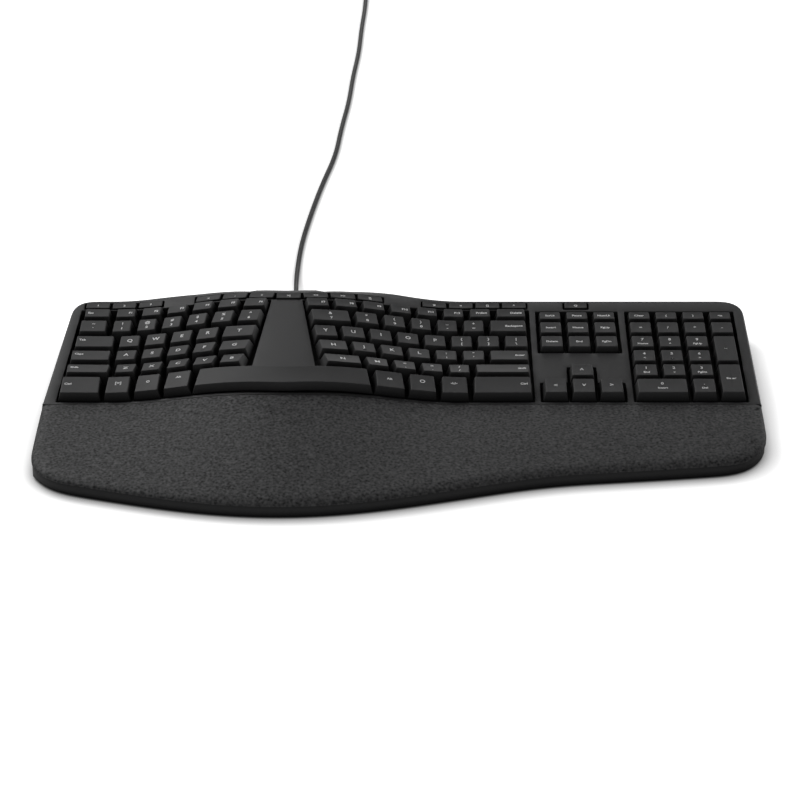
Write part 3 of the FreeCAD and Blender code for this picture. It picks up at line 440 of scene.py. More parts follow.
class CapForm:
    """Outer form of one key cap, between its base and its top, read from the CAD solid."""

    looks_up = 0.75
    corner_near = 3 * MM
    stem_end = 0.05 * MM

    def __init__(self, verts: list[bmesh.types.BMVert]) -> None:
        """Finds the corners of the cap and the end of its stem.

        Args:
            verts: welded vertices of one CAD key.
        """
        faces = {face for vert in verts for face in vert.link_faces
                 if face.normal.z > self.looks_up}
        corners = list({vert for face in faces for vert in face.verts})
        centre = sum((vert.co for vert in corners), Vector()) / len(corners)
        pairs = [(a.co - b.co) for a in corners for b in corners if a.co.x > b.co.x]
        along = min(pairs, key=lambda way: abs(way.y) + (way.length < self.corner_near))
        along = along.normalized()
        across = Vector((0, 0, 1)).cross(along).normalized()
        self.top = self.extremes([vert.co for vert in corners], centre, along, across)
        self.base = self.extremes([vert.co for vert in verts], centre, along, across)
        low = min(vert.co.z for vert in verts)
        self.stem = [vert.co.copy() for vert in verts if vert.co.z < low + self.stem_end]
        self.up = (self.top[1] - self.top[0]).cross(self.top[3] - self.top[0]).normalized()

    @staticmethod
    def extremes(points: list[Vector], centre: Vector, along: Vector,
                 across: Vector) -> list[Vector]:
        """Front left, front right, back right and back left point of a set."""
        found = []
        for u, v in ((-1, -1), (1, -1), (1, 1), (-1, 1)):
            way = along * u + across * v
            found.append(max(points, key=lambda point: (point - centre).dot(way)).copy())
        return found

    def corner(self, share: float) -> list[Vector]:
        """The four corners at a share of the way from base to top."""
        return [low.lerp(high, share) for low, high in zip(self.base, self.top)]

    def half(self, share: float) -> tuple[float, float]:
        """Half width and half depth at a share of the way up."""
        a, b, _, d = self.corner(share)
        return (b - a).length / 2, (d - a).length / 2

    def high(self) -> float:
        """Height of the cap."""
        return (sum(self.top, Vector()) / 4 - sum(self.base, Vector()) / 4).length

    def point(self, u: float, v: float, share: float) -> Vector:
        """Point of the cap, with u and v from -1 to 1 and share from base to top."""
        a, b, c, d = self.corner(share)
        near = a.lerp(b, (u + 1) / 2)
        away = d.lerp(c, (u + 1) / 2)
        return near.lerp(away, (v + 1) / 2)

    def steps(self) -> tuple[int, int]:
        """Divisions of the front and of the sides."""
        return 4, 2


class BarForm(CapForm):
    """Outer form of the space bar, which follows the fan and the dome."""

    left = -141.7 * MM
    right = -20.3 * MM
    end_gap = 1.2 * MM
    gap = 0.7 * MM
    tall = 7.3 * MM
    lift = 0.6 * MM
    top_deep = 18.6 * MM
    tilt = math.tan(math.radians(7.0))
    lean = 0.257

    def __init__(self, verts: list[bmesh.types.BMVert]) -> None:
        """Reads only the stem from the CAD solid."""
        low = min(vert.co.z for vert in verts)
        self.stem = [vert.co.copy() for vert in verts if vert.co.z < low + self.stem_end]
        self.up = Vector((0, 0, 1))

    def half(self, share: float) -> tuple[float, float]:
        """Half length and half depth at a share of the way up."""
        long = (self.right - self.left) / 2 - self.end_gap - self.lean * self.tall * share
        base = FIELD.long_row / 2 - self.gap
        return long, base + (self.top_deep / 2 - base) * share

    def high(self) -> float:
        """Height of the bar."""
        return self.tall

    def point(self, u: float, v: float, share: float) -> Vector:
        """Point of the bar, with u and v from -1 to 1 and share from base to top."""
        long, deep = self.half(share)
        x = (self.left + self.right) / 2 + u * long
        x += FIELD.fan_slope(x) * v * deep
        middle = FIELD.long_row / 2 - FIELD.draw_in(x)
        z = FIELD.key_plane(x, middle) + self.lift - self.tall * (1 - share)
        return Vector((x, middle + v * deep, z + self.tilt * v * deep * share))

    def steps(self) -> tuple[int, int]:
        """Divisions of the front and of the sides."""
        return 40, 3


@dataclass
class CapShape:
    """Sizes of the soft edges and of the dish of a key cap."""

    corner: float = 0.75 * MM
    corner_least: float = 0.12 * MM
    corner_shrink: float = 0.7
    edge: float = 0.42 * MM
    dish: float = 0.28 * MM
    wall: float = 1.2 * MM
    roof: float = 1.3
    stem_in: float = 0.5 * MM
    lid_half: float = 0.25 * MM
    inset_gap: float = 0.2 * MM
    corner_steps: int = 3
    edge_steps: int = 3
    insets: tuple[float, ...] = (0.9 * MM, 1.7 * MM, 2.8 * MM, 4.2 * MM, 5.8 * MM, 7.6 * MM)

    def ring(self, wide: float, deep: float, inset: float,
             steps: tuple[int, int]) -> list[tuple[float, float]]:
        """Rounded rectangle, counter-clockwise from its front right corner.

        Args:
            wide: half width before the inset.
            deep: half depth before the inset.
            inset: how far the ring is drawn in.
            steps: divisions of the front and of the sides.

        Returns:
            Points as shares of wide and deep.
        """
        radius = max(self.corner - self.corner_shrink * inset, self.corner_least)
        half = (wide - inset - radius, deep - inset - radius)
        points = []
        for quarter, (u, v) in enumerate(((1, -1), (1, 1), (-1, 1), (-1, -1))):
            start = (quarter - 1) * math.pi / 2
            for step in range(self.corner_steps + 1):
                angle = start + math.pi / 2 * step / self.corner_steps
                points.append(((u * half[0] + radius * math.cos(angle)) / wide,
                               (v * half[1] + radius * math.sin(angle)) / deep))
            here = points[-1]
            there = (here[0], -here[1]) if quarter % 2 == 0 else (-here[0], here[1])
            count = steps[1] if quarter % 2 == 0 else steps[0]
            for step in range(1, count):
                share = step / count
                points.append((here[0] + (there[0] - here[0]) * share,
                               here[1] + (there[1] - here[1]) * share))
        return points

    def sag(self, u: float, v: float) -> float:
        """Depth of the dish at a place of the top."""
        return self.dish * max(1 - u * u, 0.0) * max(1 - v * v, 0.0)

    def solid(self, form: CapForm, start: int) -> Solid:
        """Closed hollow cap with its stem.

        Args:
            form: outer form of the cap.
            start: index of its first vertex in the whole mesh.

        Returns:
            Vertices and faces.
        """
        high = form.high()
        ceiling = 1 - self.roof * self.wall / high
        levels = [(ceiling, self.wall), (0.0, self.wall), (0.0, 0.0)]
        for step in range(self.edge_steps + 1):
            angle = math.pi / 2 * step / self.edge_steps
            levels.append((1 - self.edge * (1 - math.sin(angle)) / high,
                           self.edge * (1 - math.cos(angle))))
        limit = min(form.half(1.0)) - self.lid_half
        levels += [(1.0, inset) for inset in self.insets if inset < limit - self.inset_gap]
        levels.append((1.0, limit))
        points, faces = [], []
        for index, (share, inset) in enumerate(levels):
            wide, deep = form.half(share)
            for u, v in self.ring(wide, deep, inset, form.steps()):
                place = form.point(u, v, share)
                if share == 1.0:
                    place = place - form.up * self.sag(u, v)
                points.append(place)
        count = len(points) // len(levels)
        for level in range(len(levels) - 1):
            faces += join_rings(start + level * count, start + (level + 1) * count, count)
        faces += self.lid(start, count, form.steps()[1])
        faces += self.lid(start + (len(levels) - 1) * count, count, form.steps()[1])
        self.add_stem(form, points, faces, start, form.point(0, 0, ceiling).z + self.stem_in)
        return points, faces

    def lid(self, first: int, count: int, side_steps: int) -> Faces:
        """Faces that close a ring by joining its front to its back.

        Args:
            first: index of the ring's first vertex.
            count: number of vertices of the ring.
            side_steps: divisions of its sides.

        Returns:
            The faces, from the right end of the ring to its left end.
        """
        mirror = 2 * self.corner_steps + side_steps
        last = mirror // 2 - count // 2 - (mirror + 1) % 2
        pairs = [(j % count, (mirror - j) % count) for j in range(mirror // 2, last, -1)]
        return [tuple(first + i for i in dict.fromkeys((a, c, d, b)))
                for (a, b), (c, d) in zip(pairs, pairs[1:])]

    @staticmethod
    def add_stem(form: CapForm, points: list[Vector], faces: Faces, start: int,
                 top: float) -> None:
        """Adds the square stem that the CAD solid has, up into the cap's ceiling."""
        middle = sum(form.stem, Vector()) / len(form.stem)
        corners = sorted(form.stem, key=lambda p: math.atan2(p.y - middle.y, p.x - middle.x))
        first = start + len(points)
        points += corners + [Vector((p.x, p.y, top)) for p in corners]
        count = len(corners)
        faces.append(tuple(first + i for i in reversed(range(count))))
        faces.append(tuple(first + count + i for i in range(count)))
        faces += join_rings(first, first + count, count)


# Legends

class Side(Enum):
    """Where a legend sits across its key."""

    LEFT = -1
    MIDDLE = 0
    RIGHT = 1


@dataclass(frozen=True)
class Mark:
    """One printed sign: its text, size, place on the key and turn."""

    text: str
    size: float
    up: float = 0.0
    side: Side = Side.MIDDLE
    turn: float = 0.0


LETTER, WORD, SIGN, ARROW = 4.9 * MM, 3.0 * MM, 3.8 * MM, 5.0 * MM
LETTER_UP, PAIR_UP, PAD_UP, PAD_WORD = 0.6 * MM, 2.9 * MM, 2.7 * MM, 2.9 * MM
EDGE_ROOM = 1.7 * MM


def letters(text: str) -> list[list[Mark]]:
    """One large letter on each key."""
    return [[Mark(one, LETTER, LETTER_UP)] for one in text]


def pairs(text: str) -> list[list[Mark]]:
    """A sign over a sign on each key, two characters a key."""
    return [[Mark(two[0], SIGN, PAIR_UP), Mark(two[1], SIGN, -PAIR_UP)] for two in text.split()]


def words(text: str, side: Side = Side.MIDDLE, up: float = 0.0) -> list[list[Mark]]:
    """One small word on each key."""
    return [[Mark(one, WORD, up, side)] for one in text.split()]


def signs(text: str) -> list[list[Mark]]:
    """One medium sign on each key."""
    return [[Mark(one, SIGN)] for one in text.split()]


def pad(digits: str, below: str) -> list[list[Mark]]:
    """A digit over a small word or sign on each key of the number pad."""
    return [[Mark(digit, SIGN, PAD_UP), Mark(word, PAD_WORD, -PAIR_UP)]
            for digit, word in zip(digits, below.split())]


def chevron(turn: float, up: float = 1.0 * MM) -> list[list[Mark]]:
    """An arrow for one key."""
    return [[Mark(">", ARROW, up, turn=turn)]]


LEGENDS = {
    "key_escape": words("Esc", Side.LEFT),
    "keys_function_left": words("F1 F2 F3 F4 F5 F6", Side.RIGHT),
    "keys_number_left": pairs("~` !1 @2 #3 $4 %5 ^6"), "key_tab": words("Tab", Side.LEFT, 2 * MM),
    "keys_upper_left": letters("QWERT"), "key_caps_lock": words("Caps", Side.LEFT, 2 * MM),
    "keys_home_left": letters("ASDFG"), "key_shift_left": words("Shift", Side.LEFT, 2 * MM),
    "keys_lower_left": letters("ZXCVB"), "key_control_left": words("Ctrl", Side.LEFT, 1 * MM),
    "keys_bottom_left": [[Mark("[=]", SIGN, 2 * MM)], [Mark("o", LETTER, 2 * MM)]],
    "key_alt_left": words("Alt", Side.MIDDLE, 3 * MM),
    "keys_function_right": words("F7 F8 F9 F10 F11 F12 PrtScn Delete", Side.RIGHT),
    "keys_number_right": pairs("&7 *8 (9 )0 _- +="),
    "key_backspace": words("Backspace", Side.RIGHT),
    "keys_upper_right": letters("YUIOP") + pairs("{[ }] |\\"),
    "keys_home_right": letters("HJKL") + pairs(":; \"'"),
    "key_enter": words("Enter", Side.RIGHT), "keys_lower_right": letters("NM") + pairs("<, >. ?/"),
    "key_shift_right": words("Shift", Side.RIGHT),
    "key_alt_right": words("Alt", Side.MIDDLE, 1 * MM),
    "keys_bottom_right": [[Mark("O", LETTER, 2 * MM)], [Mark(":)", LETTER, 2 * MM, turn=-90)]],
    "key_control_right": words("Ctrl", Side.RIGHT, 1 * MM),
    "keys_lock": words("ScrLk Pause NumLk"), "keys_insert": words("Insert Home PgUp"),
    "keys_delete": words("Delete End PgDn"), "key_up": chevron(90), "key_left": chevron(180),
    "key_down": chevron(-90), "key_right": chevron(0),
    "keys_pad_clear": words("Clear ( ) <x"), "keys_pad_signs": signs("= / * -"),
    "keys_pad_789": pad("789", "Home ^ PgUp"), "keys_pad_456": pad("456", "< . >"),
    "keys_pad_123": pad("123", "End v PgDn"), "key_pad_plus": signs("+"),
    "key_pad_enter": words("Enter"), "key_pad_zero": pad("0", "Insert"),
    "key_pad_point": pad(".", "Del"), "keys_hot_left": words("1 2 3"),
    "keys_hot_middle": words("x - + >| << >> []"), "keys_hot_right": words("# = [] ^ Q"),
}


class Printer:
    """Turns marks into thin solids that lie on the dished top of a key."""

    thick = 0.02 * MM
    fat = 0.09 * MM
    lift = 0.6
    up_most = 0.48
    roundness = 3

    def glyphs(self, mark: Mark) -> tuple[Solid, float]:
        """Mesh of a mark's text, centred on its own height.

        Args:
            mark: the sign to draw.

        Returns:
            The text's vertices and faces, and half its width.
        """
        text = bpy.data.curves.new("mark", "FONT")
        text.body = mark.text
        text.size = mark.size
        text.extrude = self.thick
        text.offset = self.fat
        text.resolution_u = self.roundness
        text.align_x, text.align_y = "CENTER", "CENTER"
        holder = bpy.data.objects.new("mark", text)
        bpy.context.scene.collection.objects.link(holder)
        bpy.context.view_layer.update()
        mesh = bpy.data.meshes.new_from_object(
            holder.evaluated_get(bpy.context.evaluated_depsgraph_get()))
        points = [vert.co.copy() for vert in mesh.vertices]
        faces = [tuple(polygon.vertices) for polygon in mesh.polygons]
        bpy.data.objects.remove(holder)
        bpy.data.curves.remove(text)
        bpy.data.meshes.remove(mesh)
        return (points, faces), max((abs(point.x) for point in points), default=0.0)

    def place(self, mark: Mark, form: CapForm, shape: CapShape, start: int) -> Solid:
        """Lays a mark on the top of a key.

        Args:
            mark: the sign.
            form: the key's outer form.
            shape: the key's soft edges and dish.
            start: index of the first vertex in the whole mesh.

        Returns:
            Vertices and faces.
        """
        (points, faces), reach = self.glyphs(mark)
        wide, deep = form.half(1.0)
        shift = mark.side.value * (wide - EDGE_ROOM - reach)
        turn = math.radians(mark.turn)
        up = min(mark.up, self.up_most * deep)
        placed = []
        for point in points:
            x = point.x * math.cos(turn) - point.y * math.sin(turn) + shift
            y = point.x * math.sin(turn) + point.y * math.cos(turn) + up
            u, v = x / wide, y / deep
            lifted = form.up * (self.thick * self.lift + point.z - shape.sag(u, v))
            placed.append(form.point(u, v, 1.0) + lifted)
        return placed, [tuple(start + i for i in face) for face in faces]


@dataclass(frozen=True)
class HomeBar:
    """Small raised bar near the front of a home key."""

    long: float = 3.4 * MM
    deep: float = 0.6 * MM
    high: float = 0.35 * MM
    sunk: float = 0.08 * MM
    forward: float = -0.62
    end_fade: float = 0.002
    columns: int = 9
    rows: int = 5

    def solid(self, form: CapForm, shape: CapShape, start: int) -> Solid:
        """Closed bar that lies on the top of a key.

        Args:
            form: the key's outer form.
            shape: the key's soft edges and dish.
            start: index of its first vertex in the whole mesh.

        Returns:
            Vertices and faces.
        """
        wide, deep = form.half(1.0)
        points, faces = [], []
        for column in range(self.columns):
            along = 2 * column / (self.columns - 1) - 1
            fade = math.sqrt(max(1 - along ** 4, self.end_fade))
            for row in range(self.rows):
                angle = math.pi * row / (self.rows - 1)
                u = along * self.long / 2 / wide
                v = self.forward - math.cos(angle) * self.deep / 2 / deep
                lift = self.high * fade * math.sin(angle) - self.sunk - shape.sag(u, v)
                points.append(form.point(u, v, 1.0) + form.up * lift)
        for column in range(self.columns - 1):
            first = start + column * self.rows
            faces += join_rings(first, first + self.rows, self.rows)
        last = start + (self.columns - 1) * self.rows
        faces.append(tuple(start + row for row in range(self.rows)))
        faces.append(tuple(last + row for row in reversed(range(self.rows))))
        return points, faces


HOME_KEYS = {"keys_home_left": 3, "keys_home_right": 1, "keys_pad_456": 1}


@dataclass
class KeySet:
    """All key caps and their legends."""

    shape: CapShape = field(default_factory=CapShape)
    printer: Printer = field(default_factory=Printer)
    home_bar: HomeBar = field(default_factory=HomeBar)

    def build(self) -> None:
        """Builds one piece of caps and one of legends for each key node."""
        for node in sorted(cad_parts):
            if node.startswith(("key_", "keys_")) and node != "key_guide":
                self.build_node(node)

    def build_node(self, node: str) -> None:
        """Caps and legends of one node.

        Args:
            node: name of the CAD node.
        """
        work = cad_mesh(node)
        make = BarForm if node == "key_space" else CapForm
        forms = [make(verts) for verts in islands(work)]
        points, faces = [], []
        for form in forms:
            extend(points, faces, self.shape.solid(form, len(points)))
        if node in HOME_KEYS:
            bar = self.home_bar.solid(forms[HOME_KEYS[node]], self.shape, len(points))
            extend(points, faces, bar)
        caps = add_object("caps_" + node, points, faces, Finishes.KEYS)
        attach(caps, node)
        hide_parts(node)
        points, faces = [], []
        for form, marks in zip(forms, LEGENDS.get(node, ())):
            for mark in marks:
                extend(points, faces, self.printer.place(mark, form, self.shape, len(points)))
        if points:
            legends = add_object("legends_" + node, points, faces, Finishes.INK)
            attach(legends, node)
        LOG.info("%s: %d caps", node, len(forms))
        work.free()


# Mouldings with soft edges

@dataclass(frozen=True)
class EdgeStyle:
    """How a moulding ends along part of its outline: soft edge and wall."""

    width: float
    drop: float
    wall: Callable[[float, float], float]


# A face counts in plan if its normal is steeper than PLAN_TURN. Corners are rounded in steps if
# their cut is shorter than ROUNDED_MOST. A turn with a sine under STRAIGHT is taken as none.
PLAN_TURN = 0.5
ROUNDED_MOST = 2.5 * MM
ROUNDED_STEPS = (0.33, 0.67)
STRAIGHT = 0.12
SMOOTH_ROUNDS = 3


def signed_area(loop: list[Vector]) -> float:
    """Area of a plan loop, positive if it runs counter-clockwise."""
    return sum(a.x * b.y - b.x * a.y for a, b in zip(loop, loop[1:] + loop[:1])) / 2


def plan_loops(node: str, sign: int, keep: Callable[[Vector], bool]) -> list[list[Vector]]:
    """Plan outlines of the faces of a CAD node that look up or down.

    Args:
        node: name of the CAD node.
        sign: 1 for faces that look up, -1 for down.
        keep: says from a face's middle whether it counts.

    Returns:
        Closed loops, the outer one first and counter-clockwise, holes clockwise.
    """
    work = cad_mesh(node)
    chosen = {face for face in work.faces
              if face.normal.z * sign > PLAN_TURN and keep(face.calc_center_median())}
    border = {}
    for face in chosen:
        for edge in face.edges:
            if sum(other in chosen for other in edge.link_faces) == 1:
                for vert in edge.verts:
                    border.setdefault(vert, set()).add(edge)
    loops = []
    while border:
        start = next(iter(border))
        here, loop = start, []
        while here in border and border[here]:
            edge = border[here].pop()
            there = edge.other_vert(here)
            border[there].discard(edge)
            loop.append(Vector((here.co.x, here.co.y)))
            if not border[here]:
                del border[here]
            here = there
        if here in border and not border[here]:
            del border[here]
        if len(loop) > 2:
            loops.append(loop)
    work.free()
    loops.sort(key=lambda loop: -abs(signed_area(loop)))
    return [loop if (signed_area(loop) > 0) == (i == 0) else loop[::-1]
            for i, loop in enumerate(loops)]


@dataclass
class Moulding:
    """Closed plate over a plan region, with soft edges, walls and a formed surface."""

    name: str
    surface: Callable[[float, float], float]
    style: Callable[[Vector, bool], EdgeStyle]
    thick: float
    finish: Finishes
    sign: int = 1
    spacing: float = 7.0 * MM
    corner: float = 0.8 * MM
    lip: float = 0.0
    lip_share: float = 0.6
    turn: float = math.radians(24)
    least: float = 0.02 * MM
    smooth_from: int = 12
    wide_cut: float = 1.05
    grid_gap: float = 0.55
    sharp: float = 35.0
    rings: tuple[float, ...] = (0.0, 0.12, 0.36, 0.66, 1.0)

    def tidy(self, loop: list[Vector], outer: bool) -> tuple[list[Vector], list[EdgeStyle]]:
        """Even points along a loop, with rounded corners, and the style of each edge.

        Args:
            loop: closed plan loop.
            outer: whether it is the outer loop.

        Returns:
            Points, and the style of the edge after each point.
        """
        loop = [p for p, q in zip(loop, loop[-1:] + loop[:-1]) if (p - q).length > self.least]
        count = len(loop)
        sharp = [i for i in range(count)
                 if (loop[i] - loop[i - 1]).angle(loop[(i + 1) % count] - loop[i]) > self.turn]
        if not sharp:
            sharp = [0]
        stretches = []
        for k, i in enumerate(sharp):
            j = sharp[(k + 1) % len(sharp)]
            run = [loop[(i + n) % count] for n in range(((j - i - 1) % count) + 2)]
            stretches.append(run)
        styles = [self.style((run[0] + run[1]) / 2 if len(run) == 2 else run[len(run) // 2], outer)
                  for run in stretches]
        points, edges = [], []
        for k, (run, style) in enumerate(zip(stretches, styles)):
            before, after = styles[k - 1], styles[(k + 1) % len(styles)]
            smooth_loop = len(sharp) == 1 and sharp == [0] and count > self.smooth_from
            cut_in = 0.0 if smooth_loop else self.cut(style, before)
            cut_out = 0.0 if smooth_loop else self.cut(style, after)
            part = resample(run, cut_in, cut_out, self.spacing / 2)
            if not smooth_loop:
                joined = self.rounded(points[-1], run[0], part[0]) if points and cut_in else []
                points += joined
                edges += [style] * len(joined)
            if smooth_loop:
                part = part[:-1]
            elif not cut_out and after is not style:
                part = part if self.cut(after, style) else part[:-1]
            points += part
            edges += [style] * len(part)
        first_cut = self.cut(styles[0], styles[-1])
        if first_cut and len(sharp) > 1:
            joined = self.rounded(points[-1], stretches[0][0], points[0])
            points += joined
            edges += [styles[0]] * len(joined)
        return points, edges

    def cut(self, style: EdgeStyle, other: EdgeStyle) -> float:
        """How much of a stretch its corner with another stretch takes."""
        if style.width == other.width:
            return self.corner
        return other.width * self.wide_cut if other.width > style.width else 0.0

    @staticmethod
    def rounded(before: Vector, corner: Vector, after: Vector) -> list[Vector]:
        """Points that round a corner between two points near it."""
        if min((before - corner).length, (after - corner).length) > ROUNDED_MOST:
            return [corner.copy()]
        return [before * (1 - t) ** 2 + corner * 2 * t * (1 - t) + after * t * t
                for t in ROUNDED_STEPS]

    def build(self, loops: list[list[Vector]]) -> bpy.types.Object:
        """Builds the plate.

        Args:
            loops: plan loops, the outer one first.

        Returns:
            The new object.
        """
        points, faces, ends = [], [], []
        for index, loop in enumerate(loops):
            plan, edges = self.tidy(loop, index == 0)
            ends.append(self.add_rim(plan, edges, points, faces))
        self.add_middle(ends, points, faces)
        return add_object(self.name, points, faces, self.finish, self.sharp)

    def add_rim(self, plan: list[Vector], edges: list[EdgeStyle], points: list[Vector],
                faces: Faces) -> list[int]:
        """Adds the wall and the soft edge of one loop.

        Args:
            plan: points of the loop.
            edges: style of the edge after each point.
            points: vertices made so far.
            faces: faces made so far.

        Returns:
            Indices of the innermost ring of the surface; the underside's ring lies three on.
        """
        count = len(plan)
        inward = []
        for i in range(count):
            first, second = plan[i] - plan[i - 1], plan[(i + 1) % count] - plan[i]
            inward.append(offset_at(first, second, edges[i - 1].width, edges[i].width))
        start = len(points)
        for share in self.rings:
            for i in range(count):
                place = plan[i] + inward[i] * share
                drop = (edges[i].drop + edges[i - 1].drop) / 2
                fall = drop * (1 - math.sqrt(max(1 - (1 - share) ** 2, 0.0)))
                level = self.surface(place.x, place.y) - self.sign * fall
                points.append(Vector((place.x, place.y, level)))
        for share, rise in ((0.0, 0.0), (self.lip_share, self.lip)):
            for i in range(count):
                place = plan[i] + inward[i] * share
                foot = edges[i].wall(plan[i].x, plan[i].y) + rise
                points.append(Vector((place.x, place.y, foot)))
        for i in range(count):
            place = plan[i] + inward[i]
            level = self.surface(place.x, place.y) - self.sign * self.thick
            points.append(Vector((place.x, place.y, level)))
        rows = len(self.rings)
        order = [rows + 2, rows + 1, rows] + list(range(rows))
        for low, high in zip(order, order[1:]):
            faces += join_rings(start + low * count, start + high * count, count)
        return [start + (rows - 1) * count + i for i in range(count)]

    def add_middle(self, ends: list[list[int]], points: list[Vector],
                   faces: Faces) -> None:
        """Fills the surface and its underside between the rims.

        Args:
            ends: indices of the innermost ring of each rim.
            points: vertices made so far.
            faces: faces made so far.
        """
        plan, source, borders = [], [], []
        for ring in ends:
            first = len(plan)
            plan += [points[i].to_2d() for i in ring]
            source += ring
            borders += [(first + i, first + (i + 1) % len(ring)) for i in range(len(ring))]
        outlines = [np.array([points[i].to_2d() for i in ring]) for ring in ends]
        near = KDTree(len(plan))
        for i, place in enumerate(plan):
            near.insert((place.x, place.y, 0.0), i)
        near.balance()
        low, high = outlines[0].min(axis=0), outlines[0].max(axis=0)
        for x in np.arange(low[0], high[0], self.spacing):
            for y in np.arange(low[1], high[1], self.spacing):
                clear = near.find((x, y, 0.0))[2] > self.spacing * self.grid_gap
                if clear and inside(x, y, outlines):
                    plan.append(Vector((x, y)))
        rest = len(source)
        made = delaunay_2d_cdt(plan, borders, [], 0, 1e-9)
        index = {}
        for new, old in enumerate(made[3]):
            if old and old[0] < rest:
                top = source[old[0]]
                ring = next(r for r in ends if r[0] <= top <= r[-1])
                index[new] = (top, top + 3 * len(ring))
                continue
            place = made[0][new]
            level = self.surface(place.x, place.y)
            points.append(Vector((place.x, place.y, level)))
            points.append(Vector((place.x, place.y, level - self.sign * self.thick)))
            index[new] = (len(points) - 2, len(points) - 1)
        for triangle in made[2]:
            middle = sum((made[0][i] for i in triangle), Vector((0, 0))) / len(triangle)
            if inside(middle.x, middle.y, outlines):
                faces.append(tuple(index[i][0] for i in triangle))
                faces.append(tuple(index[i][1] for i in reversed(triangle)))


def resample(run: list[Vector], cut_in: float, cut_out: float, step: float) -> list[Vector]:
    """Even, lightly smoothed points along an open stretch, without its cut ends.

    Args:
        run: points of the stretch.
        cut_in: length left out at its start.
        cut_out: length left out at its end.
        step: greatest distance between points.

    Returns:
        The new points, ends included.
    """
    plan = np.array([[p.x, p.y] for p in run])
    along = np.concatenate([[0], np.cumsum(np.hypot(*np.diff(plan, axis=0).T))])
    begin, end = cut_in, along[-1] - cut_out
    if end <= begin:
        begin = end = along[-1] / 2
    count = max(1, math.ceil((end - begin) / step))
    places = np.linspace(begin, end, count + 1)
    made = np.stack([np.interp(places, along, plan[:, axis]) for axis in (0, 1)], axis=1)
    for _ in range(SMOOTH_ROUNDS):
        if len(made) > 4:
            made[1:-1] = (made[:-2] + 2 * made[1:-1] + made[2:]) / 4
    return [Vector(tuple(place)) for place in made]


def offset_at(first: Vector, second: Vector, width_in: float, width_out: float) -> Vector:
    """Inward shift of a loop's point, from the edges before and after it and their widths."""
    normal_in = Vector((-first.y, first.x)).normalized()
    normal_out = Vector((-second.y, second.x)).normalized()
    turn = normal_in.x * normal_out.y - normal_in.y * normal_out.x
    if abs(turn) < STRAIGHT:
        return (normal_in + normal_out).normalized() * (width_in + width_out) / 2
    return Vector(((width_in * normal_out.y - width_out * normal_in.y) / turn,
                   (width_out * normal_in.x - width_in * normal_out.x) / turn))


def inside(x: float, y: float, outlines: list[np.ndarray]) -> bool:
    """Whether a plan point lies in the first outline and in none of the others."""
    for index, outline in enumerate(outlines):
        ahead = np.roll(outline, -1, axis=0)
        spans = (outline[:, 1] > y) != (ahead[:, 1] > y)
        a, b = outline[spans], ahead[spans]
        cross = a[:, 0] + (y - a[:, 1]) / (b[:, 1] - a[:, 1]) * (b[:, 0] - a[:, 0])
        if (np.count_nonzero(cross > x) % 2 == 1) != (index == 0):
            return False
    return True


